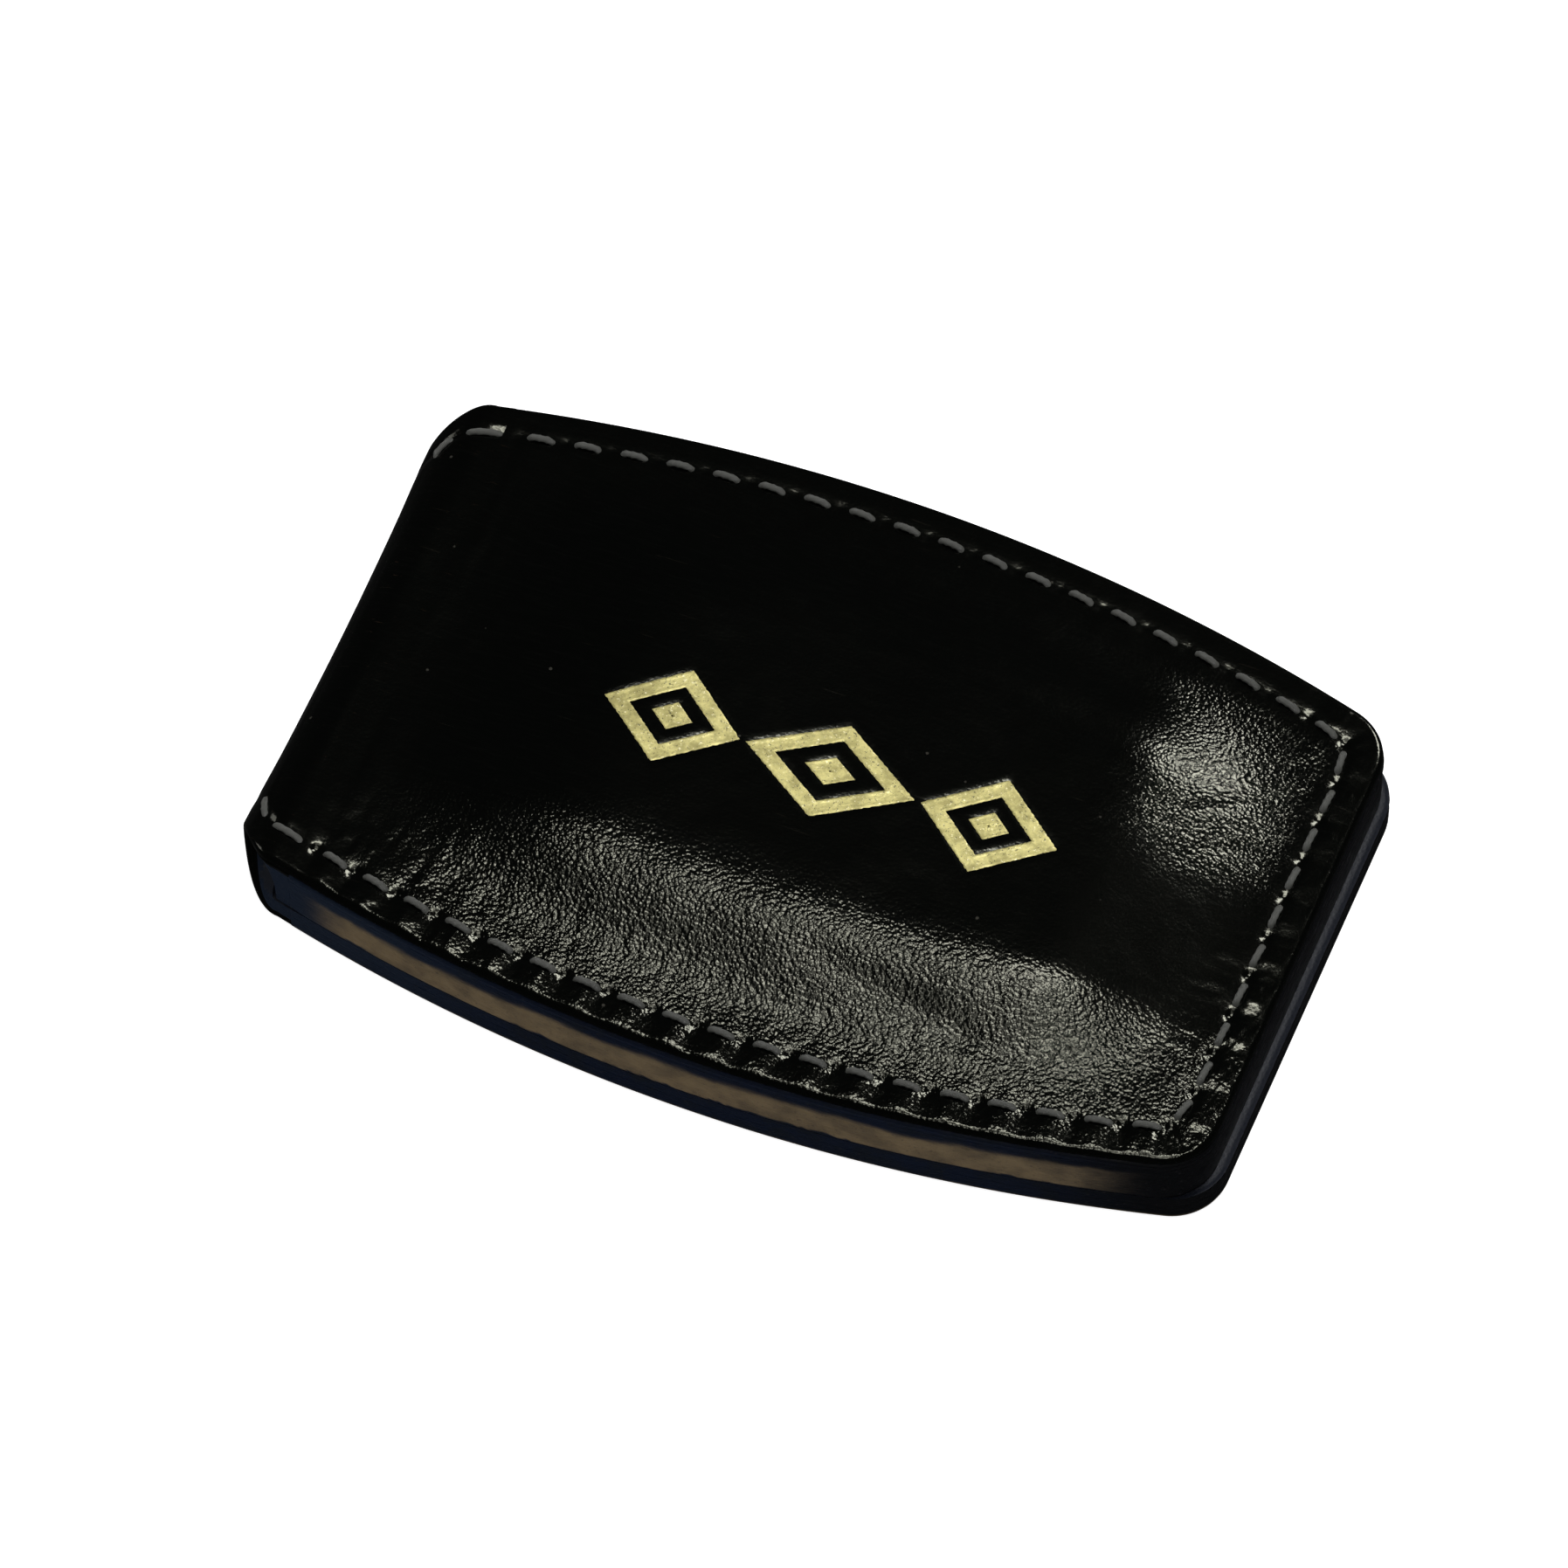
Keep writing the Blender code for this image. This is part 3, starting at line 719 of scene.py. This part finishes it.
def seam_piece(name, stitches, height, up, lift, seed):
    """Every stitch of one seam on one face, as one piece."""
    holes, outwards, _ = stitches
    runs = []
    for number, (start, end) in enumerate(zip(holes, holes[1:])):
        gap = (end - start) * STITCH_GAP
        level = float(height(*(np.array([v]) for v in (start + end) / 2))[0])
        start = np.array([*(start + gap), level])
        end = np.array([*(end - gap), level])
        runs.append(thread_run(start, end, lift * MM, outwards[number], seed + number, up))
    verts, faces, uv = joined(runs)
    return make_piece(name, verts, faces, THREAD, uv)


def fold_stitches(name, upper):
    """The seam's last stitches, which run on round the fold's two ends."""
    runs = []
    ends = ((0.5, -2.75, 0.0), (-3.15, -4.4, 1.0))  # from, to and inward drift, in mm
    lift = (0.17 if upper else -0.08) * MM
    for side in (-1.0, 1.0):
        for number, (first, last, inward) in enumerate(ends):
            along = np.array([first, last]) * MM
            along = STRIP + along if upper else -along
            whole = strip_half_width(along)
            half = whole - STITCH_INSET - np.array([0.0, inward]) * MM
            level = -strip_height(along, half, whole) - 0.05 * MM
            tuck = 0.3 * MM * (1 if upper else -1)
            start = np.array([along[0] - tuck, half[0] * side, level[0]])
            end = np.array([along[1], half[1] * side, level[1]])
            seed = 900 + number + int(side) * 5
            runs.append(thread_run(start, end, lift, np.array([0.0, side]), seed))
    verts, faces, uv = joined(runs)
    x, z = strip_place(verts[:, 0], -verts[:, 2])
    return make_piece(name, np.stack([x, verts[:, 1], z], 1), faces, THREAD, uv)


# ---- The gilt mark: three lozenge frames, each with a solid lozenge inside ----


def read_lozenge(number):
    """A lozenge's place and size, and how much of its frame the heart takes up."""
    low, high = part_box(f"gilt_frame_{number}")
    heart_low, heart_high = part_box(f"gilt_heart_{number}")
    length, height = (high.x - low.x) / 2, (high.y - low.y) / 2
    across = length * height / math.hypot(length, height)
    return SimpleNamespace(
        x=(low.x + high.x) / 2, y=(low.y + high.y) / 2, half=(length, height), across=across,
        hole=1 - STROKE / across, heart=(heart_high.x - heart_low.x) / (high.x - low.x),
    )


LOZENGES = [read_lozenge(number) for number in (1, 2, 3)]


def cover_face(x, y):
    """The upper cover's surface, pressed down a little under the foil."""
    total = np.zeros_like(x)
    for lozenge in LOZENGES:
        length, height = lozenge.half
        share = np.abs(x - lozenge.x) / length + np.abs(y - lozenge.y) / height
        frame_side = np.minimum(1 - share, share - lozenge.hole)
        foil = np.maximum(frame_side, lozenge.heart - share) * lozenge.across
        total = np.maximum(total, ease(-0.16, 0.1, foil))
    return upper_cover_height(x, y) - 0.07 * MM * total


def foil_piece(name, lozenge, inner, outer, seed):
    """Foil over a lozenge ring: it follows the leather, and its rims are turned up."""
    length, height = lozenge.half
    per_side = 44
    turn = np.arange(4 * per_side)
    corners = np.array([[length, 0], [0, height], [-length, 0], [0, -height], [length, 0]])
    whole, part = turn // per_side, (turn % per_side / per_side)[:, None]
    outline = corners[whole] * (1 - part) + corners[whole + 1] * part
    rng = np.random.RandomState(seed)

    def row(place, up, ragged=1.0):
        plan = outline * (inner + (outer - inner) * place) * ragged
        x, y = plan[:, 0] + lozenge.x, plan[:, 1] + lozenge.y
        return np.stack([x, y, cover_face(x, y) + up], 1)

    across = np.concatenate([[0.0, 0.06, 0.14], np.linspace(0.26, 0.74, 7), [0.86, 0.94, 1.0]])
    lift = np.concatenate([[0.0, 0.055, 0.06], np.full(7, 0.04), [0.06, 0.055, 0.0]]) * MM
    rows = []
    for place, up in zip(across, lift):
        edge = abs(2 * place - 1) ** 6
        ragged = 1 + edge * 0.006 * rng.uniform(-1, 1, len(turn))[:, None]
        mottle = 0.006 * MM * rng.uniform(-1, 1, len(turn)) * (1 - edge)
        rows.append(row(place, up + mottle, ragged))
    rows += [row(place, -0.06 * MM) for place in (0.9, 0.5, 0.1)]
    grid = np.stack(rows)
    index = numbered(*grid.shape[:2])
    down, side = np.roll(index, -1, 0), np.roll(index, -1, 1)
    both = np.roll(down, -1, 1)
    faces = np.stack([index, down, both, side], -1).reshape(-1, 4).tolist()
    verts = grid.reshape(-1, 3)
    return make_piece(name, verts, faces, FOIL, verts[:, :2] / MM, sharp=70)


# ---- The padding ----


def padding_piece(name, surface):
    """A foam pad: a soft lens between the board and the cover's hollow side."""
    low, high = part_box("padding")
    centre = (low + high) / 2
    reach = (high - low) / 2 - Vector((0.4 * MM, 0.4 * MM, 0))
    rings, sides, power = 40, 150, 3.2
    share = np.linspace(0.02, 1.0, rings)
    turn = np.linspace(0, 2 * np.pi, sides, endpoint=False)
    corner = (np.abs(np.cos(turn)) ** power + np.abs(np.sin(turn)) ** power) ** (-1 / power)
    x = centre.x + share[:, None] * (reach.x * corner * np.cos(turn))[None]
    y = centre.y + share[:, None] * (reach.y * corner * np.sin(turn))[None]
    bottom = np.full_like(x, low.z)
    fuzz = 0.03 * MM * FINE.mm(x, y, 0.5)
    cover = COVER_BACK + dome(x, y) - 0.12 * MM
    round_off = np.sqrt(np.clip(1 - share**6, 0, 1))[:, None]
    top = bottom + np.maximum(cover - bottom, 0.2 * MM) * (0.25 + 0.75 * round_off) + fuzz
    grid = np.concatenate([np.stack([x, y, top], -1), np.stack([x, y, bottom], -1)[::-1]])
    verts = grid.reshape(-1, 3)
    piece = make_piece(name, verts, tube_faces(2 * rings, sides), surface, verts[:, :2] / MM)
    return piece


# ---- Materials ----


class Shader:
    """A material's node graph, with one short call per node."""

    def __init__(self, name):
        self.surface = bpy.data.materials.new(name)
        self.surface.use_nodes = True
        self.nodes = self.surface.node_tree.nodes
        self.links = self.surface.node_tree.links

    def plug(self, socket, value):
        if isinstance(value, bpy.types.NodeSocket):
            self.links.new(value, socket)
        else:
            socket.default_value = value

    def node(self, kind, sockets, **settings):
        made = self.nodes.new(f"ShaderNode{kind}")
        for key, value in settings.items():
            setattr(made, key, value)
        for key, value in sockets.items():
            self.plug(made.inputs[key], value)
        return made.outputs

    def finish(self, colour, rough, normal=None, **values):
        """Set the surface shader's own sockets."""
        values.update(Base_Color=colour, Roughness=rough)
        if normal is not None:
            values["Normal"] = normal
        for key, value in values.items():
            self.plug(self.nodes["Principled BSDF"].inputs[key.replace("_", " ")], value)
        return self.surface

    def place(self, kind="UV", scale=(1, 1, 1), turn=0.0):
        return self.node("Mapping", {
            "Vector": self.node("TexCoord", {})[kind],
            "Scale": scale,
            "Rotation": (0, 0, turn),
        })["Vector"]

    def solid(self, scale=(1000, 1000, 1000)):
        return self.place("Object", scale)

    def noise(self, place, scale, detail=3.0, rough=0.55, warp=0.0):
        return self.node("TexNoise", {
            "Vector": place, "Scale": scale, "Detail": detail, "Roughness": rough,
            "Distortion": warp,
        })["Fac"]

    def cells(self, place, scale, smoothness=None):
        sockets, feature = {"Vector": place, "Scale": scale}, "F1"
        if smoothness is not None:
            sockets["Smoothness"], feature = smoothness, "SMOOTH_F1"
        return self.node("TexVoronoi", sockets, feature=feature)["Distance"]

    def ramp(self, value, low, high, start=0.0, end=1.0):
        return self.node("MapRange", {
            "Value": value, "From Min": low, "From Max": high, "To Min": start, "To Max": end,
        }, interpolation_type="SMOOTHSTEP")["Result"]

    def add(self, first, second):
        return self.node("Math", {0: first, 1: second}, operation="ADD")[0]

    def times(self, first, second):
        return self.node("Math", {0: first, 1: second}, operation="MULTIPLY")[0]

    def mix(self, share, first, second):
        first, second = (
            (*colour, 1.0) if isinstance(colour, tuple) else colour for colour in (first, second)
        )
        sockets = {"Factor": share, "A": first, "B": second}
        return self.node("Mix", sockets, data_type="RGBA")["Result"]

    def bump(self, height, strength, distance, under=None):
        sockets = {"Height": height, "Strength": strength, "Distance": distance}
        if under is not None:
            sockets["Normal"] = under
        return self.node("Bump", sockets)["Normal"]

    def dye(self):
        return self.node("Attribute", {}, attribute_name="dye")["Fac"]

    def along(self, place):
        return self.node("SeparateXYZ", {"Vector": place})["X"]


def leather(name):
    """Black glazed leather: fine pebbles, hairline scratches, dust, and wear near the fold."""
    look = Shader(name)
    place = look.place()
    pebbles = look.cells(place, 3.7, 0.3)
    small = look.cells(place, 7.4, 0.4)
    patches = look.noise(place, 0.22)
    fine = look.noise(place, 9.0, 4.0, 0.6)
    scuffs = look.noise(look.place(scale=(0.35, 3.4, 1), turn=0.5), 1.1, 5.0, 0.7)
    scratches = look.noise(look.place(scale=(0.09, 4.0, 1), turn=-0.2), 2.3, 2.0, 0.4)
    hairline = look.ramp(scratches, 0.745, 0.78)
    specks = look.ramp(look.cells(place, 0.3), 0.045, 0.025)
    worn = look.ramp(patches, 0.52, 0.72)
    cracks = look.ramp(look.noise(look.place(scale=(0.5, 3.0, 1)), 1.3, 6.0, 0.75), 0.63, 0.7)
    cracks = look.times(cracks, look.ramp(look.along(place), -27.0, -33.0))
    body = look.mix(
        look.ramp(scuffs, 0.45, 0.8), (0.0007, 0.0009, 0.0008), (0.0016, 0.0018, 0.0016)
    )
    body = look.mix(look.times(hairline, 0.25), body, (0.03, 0.025, 0.018))
    body = look.mix(look.times(specks, 0.35), body, (0.1, 0.095, 0.08))
    body = look.mix(look.times(cracks, 0.6), body, (0.035, 0.022, 0.014))
    rough = look.add(look.ramp(fine, 0.3, 0.75, 0.105, 0.15), look.times(worn, 0.015))
    rough = look.add(rough, look.times(hairline, 0.05))
    grain = look.add(look.times(pebbles, -1.0), look.times(small, -0.35))
    normal = look.bump(look.times(grain, look.dye()), 0.27, 0.00016)
    normal = look.bump(fine, 0.05, 0.00005, normal)
    return look.finish(
        body, rough, normal, Specular_IOR_Level=0.3, Specular_Tint=(1.0, 1.0, 0.82, 1.0)
    )


def edge_leather(name, gloss, kind, unit):
    """Cut leather edge, burnished: blue-black where it is dyed, tan where it is not. The tan
    paints a warm reflection, and the lighter blue towards the fold paints a sheen.
    """
    look = Shader(name)
    solid = look.place(kind, (unit, unit, unit))
    fibre = look.noise(look.place(kind, (0.9 * unit, 0.9 * unit, 3.8 * unit)), 1.4, 4.0, 0.65)
    blotch = look.noise(solid, 0.55)
    grit = look.noise(solid, 5.0, 3.0, 0.6)
    pits = look.ramp(look.cells(solid, 1.5), 0.16, 0.06)
    soaked = look.add(look.dye(), look.times(look.add(fibre, -0.5), 0.3))
    # Painted reflection: this tan stands for a warm reflection along the glossy edge, laid on as
    # bare leather.
    tan = look.mix(look.ramp(blotch, 0.3, 0.75), (0.138, 0.098, 0.05), (0.08, 0.058, 0.033))
    tan = look.mix(look.ramp(grit, 0.55, 0.75, 0.0, 0.5), tan, (0.02, 0.014, 0.012))
    dark = look.mix(
        look.ramp(blotch, 0.4, 0.7), (0.003, 0.0062, 0.0165), (0.0042, 0.0066, 0.012)
    )
    x = look.along(solid)
    # Painted sheen: towards the fold the blue-black turns a lighter blue. Towards the free end it
    # turns a duller, more neutral black.
    dark = look.mix(look.ramp(x, -10.0, -28.0), dark, (0.0062, 0.0115, 0.0235))
    dark = look.mix(look.ramp(x, 20.0, 33.0), dark, (0.0022, 0.0024, 0.003))
    colour = look.mix(look.ramp(soaked, 0.05, 0.95), tan, dark)
    colour = look.mix(look.times(pits, 0.55), colour, (0.02, 0.017, 0.02))
    normal = look.bump(grit, 0.3, 0.00004, look.bump(fibre, 0.35, 0.00008))
    rough = look.ramp(fibre, 0.3, 0.7, 0.38, 0.55)
    return look.finish(colour, rough, normal, Specular_IOR_Level=gloss)


def lining_leather(name):
    """Smooth tan lining with a fine grain, and dye that has run in from the edge."""
    look = Shader(name)
    place = look.place()
    grain = look.cells(place, 4.6, 0.5)
    mottle = look.noise(place, 0.3, 4.0, 0.6)
    fibre = look.noise(look.place(scale=(0.5, 2.2, 1)), 3.0, 4.0, 0.65)
    marks = look.ramp(look.noise(look.place(scale=(0.1, 2.6, 1), turn=0.3), 1.5), 0.66, 0.74)
    tan = look.mix(mottle, (0.3, 0.185, 0.085), (0.21, 0.125, 0.058))
    tan = look.mix(look.ramp(fibre, 0.5, 0.8, 0.0, 0.45), tan, (0.15, 0.085, 0.04))
    tan = look.mix(look.times(marks, 0.4), tan, (0.12, 0.07, 0.035))
    soaked = look.add(look.dye(), look.ramp(fibre, 0.2, 0.8, -0.25, 0.25))
    colour = look.mix(look.ramp(soaked, 0.15, 0.85), tan, (0.006, 0.008, 0.014))
    normal = look.bump(fibre, 0.18, 0.00004, look.bump(grain, 0.22, 0.00008))
    rough = look.ramp(fibre, 0.3, 0.8, 0.45, 0.62)
    return look.finish(colour, rough, normal, Specular_IOR_Level=0.4)


def thread_look(name):
    """Waxed charcoal thread: fine filaments and a few pale fibres."""
    look = Shader(name)
    filaments = look.node("TexWave", {
        "Vector": look.place(scale=(6.0, 9.0, 1), turn=0.9), "Scale": 1.2, "Distortion": 1.5,
        "Detail Scale": 2.0,
    })["Fac"]
    fuzz = look.noise(look.place(scale=(9, 40, 1)), 1.3, 4.0, 0.7)
    colour = look.mix(filaments, (0.062, 0.064, 0.058), (0.127, 0.129, 0.117))
    colour = look.mix(look.ramp(fuzz, 0.6, 0.8, 0.0, 0.5), colour, (0.2, 0.2, 0.185))
    normal = look.bump(fuzz, 0.4, 0.00003, look.bump(filaments, 0.6, 0.00005))
    rough = look.ramp(fuzz, 0.3, 0.8, 0.42, 0.65)
    return look.finish(colour, rough, normal)


def foil_look(name):
    """Pale gold foil, mottled and speckled where it has missed the pores."""
    look = Shader(name)
    place = look.solid()
    mottle = look.noise(place, 1.1, 4.0, 0.65)
    fleck = look.noise(place, 4.2, 3.0, 0.7)
    holes = look.ramp(look.noise(place, 5.5, 2.0, 0.6), 0.615, 0.68)
    gold = look.mix(look.ramp(mottle, 0.35, 0.65), (0.6, 0.54, 0.21), (0.36, 0.32, 0.115))
    gold = look.mix(look.ramp(fleck, 0.58, 0.74), gold, (0.95, 0.9, 0.58))
    gold = look.mix(look.times(holes, 0.8), gold, (0.05, 0.05, 0.025))
    rough = look.ramp(mottle, 0.3, 0.7, 0.38, 0.55)
    normal = look.bump(fleck, 0.5, 0.00006)
    return look.finish(gold, rough, normal, Metallic=0.45)


def foam_look(name):
    """Pale open-cell foam: small round cells, and patches that have yellowed a little."""
    look = Shader(name)
    place = look.solid()
    cells = look.cells(place, 3.4, 0.2)
    colour = look.mix(look.noise(place, 0.6), (0.42, 0.4, 0.34), (0.58, 0.54, 0.44))
    colour = look.mix(look.ramp(cells, 0.25, 0.5, 0.0, 0.6), colour, (0.24, 0.22, 0.18))
    return look.finish(colour, 0.92, look.bump(cells, 0.8, 0.00012))


def board_look(name):
    """Grey fibreboard, with long pressed fibres and dark grit."""
    look = Shader(name)
    fibres = look.noise(look.solid((300, 1100, 1000)), 2.2, 5.0, 0.7, 0.6)
    grit = look.noise(look.solid(), 6.0)
    colour = look.mix(fibres, (0.24, 0.21, 0.17), (0.4, 0.36, 0.3))
    colour = look.mix(look.ramp(grit, 0.6, 0.75, 0.0, 0.6), colour, (0.13, 0.11, 0.09))
    return look.finish(colour, 0.88, look.bump(fibres, 0.5, 0.0001))


def metal_look(name, colour, dull, stretch, rough):
    """Plated or rolled metal: fine drawn lines, smudges and small dull spots."""
    look = Shader(name)
    place = look.solid()
    lines = look.noise(look.solid(stretch), 1.0, 4.0, 0.6)
    smudge = look.noise(place, 0.35)
    spots = look.ramp(look.noise(place, 3.2, 2.0), 0.66, 0.72)
    tone = look.mix(look.times(spots, 0.5), look.mix(smudge, colour, dull), (0.2, 0.18, 0.15))
    shine = look.ramp(smudge, 0.3, 0.8, rough, rough + 0.18)
    return look.finish(tone, shine, look.bump(lines, 0.12, 0.00003), Metallic=1.0)


def floor_look(name):
    """A pale matt floor that glows faintly, so that the clip's shadow stays light."""
    look = Shader(name)
    specks = look.noise(look.solid((60, 60, 60)), 3.0)
    colour = look.mix(specks, (0.56, 0.56, 0.56), (0.6, 0.6, 0.6))
    return look.finish(
        colour, 0.9, Specular_IOR_Level=0.1, Emission_Color=(1, 1, 1, 1), Emission_Strength=0.88
    )


# ---- Building ----

BLACK = leather("glazed_black_leather")
EDGE = edge_leather("burnished_edge", 0.16, "Object", 1000)
FOLD_EDGE = edge_leather("burnished_fold_edge", 0.13, "UV", 1)
LINING = lining_leather("tan_lining")
THREAD = thread_look("charcoal_thread")
FOIL = foil_look("pale_gold_foil")

# Edge walls of the leaves' layers: (share of the way down, outward offset in mm)
UPPER_WALL = (
    (0.06, 0.0), (0.16, -0.01), (0.24, -0.09), (0.32, -0.1), (0.4, 0.02), (0.48, 0.08),
    (0.56, 0.08), (0.66, 0.04), (0.84, 0.02),
)
PLAIN_WALL = ((0.12, 0.0), (0.3, 0.015), (0.5, 0.02), (0.7, 0.015), (0.88, 0.0))
LINING_WALL = tuple((n / 14, 0.03 * math.sin(math.pi * n / 14)) for n in range(1, 14))


def lower_face(x, y):
    """The underside: the lower leaf's outer leather, with its seam, facing the table."""
    inset = edge_distance(x, y, LOWER_FREE_X)
    dents = np.maximum(-needlework(x, y, inset, LOWER_SEAM, 0.6), 0.0)
    waves = 0.02 * MM * (1 + SWELL.mm(x, y, 7, shift=(0, 9))) * ease(0.4, 3.5, inset)
    groove = 0.24 * MM * bell(inset - STITCH_INSET, SEAM_WIDTH)
    return rim_drop(inset) * 0.8 + (dents + groove + waves) * ease(0, 1.5, x - JOIN_X)


def lining_face(free_x, stitches, level, sign, seed):
    """A lining's open face, dented along the seam."""

    def height(x, y):
        inset = edge_distance(x, y, free_x)
        dents = 0.4 * np.minimum(needlework(x, y, inset, stitches, 0.3), 0.0)
        soft = -0.12 * MM * (1 - ease(0, 0.5, inset)) ** 2
        waves = -0.02 * MM * (1 + SWELL.mm(x, y, 8, shift=(seed, 0)))
        waves *= ease(0.5, 3, inset)
        return level + sign * (dents + soft + waves) * ease(0, 1.5, x - JOIN_X)

    return height


def stands_for(node):
    """Hide the CAD node that a piece stands for."""
    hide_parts(node)


def fit(body, piece, node=None):
    """Fix a piece to a body. Its node is the one that it is named after, or the one given."""
    stands_for(node or piece.name.removesuffix("_look"))
    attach(piece, body)


def build_leaf(side, free_x, stitches, welt, dye, cover, lining, seams):
    """One leaf's cover, filler strip, lining and two seams, fixed to its body."""
    body = f"{side}_leaf"
    fit(body, leaf_piece(f"{side}_cover_look", free_x, *cover))
    fit(body, band_piece(f"{side}_welt_look", free_x, welt, dye))
    lining = leaf_piece(f"{side}_lining_look", free_x, *lining, LINING, (0.2, 0.35), dye)
    fit(body, lining)
    for name, layer, *stitching in seams:
        thread = seam_piece(f"{side}_{name}_look", stitches, *stitching)
        fit(body, thread, f"{side}_{layer}_thread")


def build_upper_leaf():
    face = lining_face(UPPER_FREE_X, UPPER_SEAM, UPPER_LINING[0], 1, 3)
    build_leaf(
        "upper", UPPER_FREE_X, UPPER_SEAM, UPPER_WELT, upper_dye_and_painted_reflection,
        (cover_face, lambda x, y: UPPER_WELT[1] + dome(x, y), UPPER_WALL, BLACK,
         (0.165, 0.25), cover_grain, 4),
        (face, flat(UPPER_WELT[0]), LINING_WALL),
        (("seam", "cover", cover_face, 1.0, 0.19, 100),
         ("lining_seam", "lining", face, -1.0, -0.11, 300)),
    )
    fit("upper_leaf", padding_piece("padding_look", foam_look("pale_foam")))
    for number, lozenge in enumerate(LOZENGES, 1):
        for kind, inner, outer, seed in (
            ("frame", lozenge.hole, 1.0, number), ("heart", 0.015, lozenge.heart, number + 10),
        ):
            foil = foil_piece(f"gilt_{kind}_{number}_look", lozenge, inner, outer, seed)
            fit("upper_leaf", foil)


def build_lower_leaf():
    face = lining_face(LOWER_FREE_X, LOWER_SEAM, LOWER_LINING[1], -1, 8)
    build_leaf(
        "lower", LOWER_FREE_X, LOWER_SEAM, LOWER_WELT, lower_dye,
        (lower_face, flat(LOWER_WELT[0]), PLAIN_WALL, BLACK, (0.16, 0.26), lower_grain),
        (face, flat(LOWER_WELT[1]), PLAIN_WALL),
        (("cover_seam", "cover", lower_face, -1.0, -0.02, 500),
         ("lining_seam", "lining", face, 1.0, -0.11, 700)),
    )


def build_fold():
    """Each layer has one stretch to a joint, cut in the middle of the segments."""
    cuts = [0.0] + [joint_line(n) + SEGMENT_ARC / 2 for n in range(1, SEGMENTS + 1)] + [STRIP]
    for layer, surface, slot, reach in (
        ("cover", BLACK, "black_leather", COVER_BEND),
        ("lining", LINING, "tan_leather", LINING_BEND),
    ):
        for number, (first, last) in enumerate(zip(cuts, cuts[1:]), 1):
            piece = strip_piece(f"fold_{layer}_{number}_look", first, last, layer, surface)
            stands_for(f"fold_{layer}_{min(number, SEGMENTS)}")
            bend(piece)
    for name, number in (("upper_fold_stitches", SEGMENTS + 1), ("lower_fold_stitches", 1)):
        piece = fold_stitches(name, number > 1)
        bend(piece)


def dress_inner_parts():
    """The board, magnets and keeper plate keep their CAD shape and get their finish."""
    steel = metal_look(
        "rolled_steel", (0.42, 0.43, 0.45), (0.3, 0.31, 0.33), (60, 2600, 900), 0.34
    )
    nickel = metal_look(
        "nickel_plating", (0.66, 0.65, 0.61), (0.5, 0.49, 0.46), (900, 900, 900), 0.2
    )
    for node, look in (
        ("magnet_board", board_look("grey_fibreboard")),
        ("keeper_plate", steel),
        ("magnet_1", nickel),
        ("magnet_2", nickel),
    ):
        mesh = bpy.data.objects[node].data
        mesh.materials.clear()
        mesh.materials.append(look)


build_upper_leaf()
build_lower_leaf()
build_fold()
dress_inner_parts()


# ---- Floor, light and camera ----

# Soft lights that face the clip: direction, distance and size (m), radiance (W/m2)
SOFTBOXES = {
    "overhead": ((0.0, 0.2, 1.0), 1.35, (0.55, 0.17), 22.0),
    "overhead_low": ((0.0, 0.0, 1.0), 1.35, (0.5, 0.34), 2.6),
    "far_right": ((0.17, 0.7, 0.69), 1.3, (0.32, 0.28), 24.0),
    "front": ((0.15, -0.35, 0.92), 1.4, (0.45, 0.35), 9.0),
    "left": ((-1.0, 0.1, 0.45), 1.5, (0.5, 0.4), 3.0),
}
FLOOR_REACH = 6.0
FLOOR_Z = -0.02 * MM


def build_stage():
    corners = [(-1, -1), (1, -1), (1, 1), (-1, 1)]
    mesh = bpy.data.meshes.new("floor")
    mesh.from_pydata(
        [(x * FLOOR_REACH, y * FLOOR_REACH, FLOOR_Z) for x, y in corners], [], [(0, 1, 2, 3)]
    )
    mesh.materials.append(floor_look("pale_floor"))
    floor = add_object("floor", mesh)
    floor.visible_glossy = False
    for name, (direction, distance, size, radiance) in SOFTBOXES.items():
        light = bpy.data.lights.new(name, "AREA")
        light.shape = "RECTANGLE"
        light.size, light.size_y = size
        light.energy = radiance * math.pi * size[0] * size[1]
        lamp = add_object(name, light)
        lamp.location = Vector(direction).normalized() * distance
        lamp.rotation_euler = lamp.location.to_track_quat("Z", "Y").to_euler()
    world = bpy.data.worlds.new("studio")
    bpy.context.scene.world = world
    world.use_nodes = True
    background = world.node_tree.nodes["Background"].inputs
    background["Color"].default_value = (1, 1, 1, 1)
    background["Strength"].default_value = 0.02
    bpy.context.scene.view_settings.view_transform = "Standard"


def build_camera():
    """Azimuth 22.1 and elevation 59 degrees, 1 m away from the clip, with a long lens."""
    right = Vector((0.9264, 0.37652, 0.0))
    up = Vector((-0.32274, 0.79408, 0.51504))
    back = Vector((0.19392, -0.47713, 0.85717))
    target = Vector((-0.13 * MM, 0.0, RIM_Z))
    camera = bpy.data.cameras.new("camera")
    camera.sensor_width = 36.0
    camera.lens = 337.3
    camera.clip_start = 0.01
    camera.clip_end = 20.0
    holder = add_object("camera", camera)
    place = target + back - right * 2.268 * MM - up * 0.303 * MM
    rotation = Matrix((right, up, back)).transposed().to_4x4()
    holder.matrix_world = Matrix.Translation(place) @ rotation
    bpy.context.scene.camera = holder


build_stage()
build_camera()
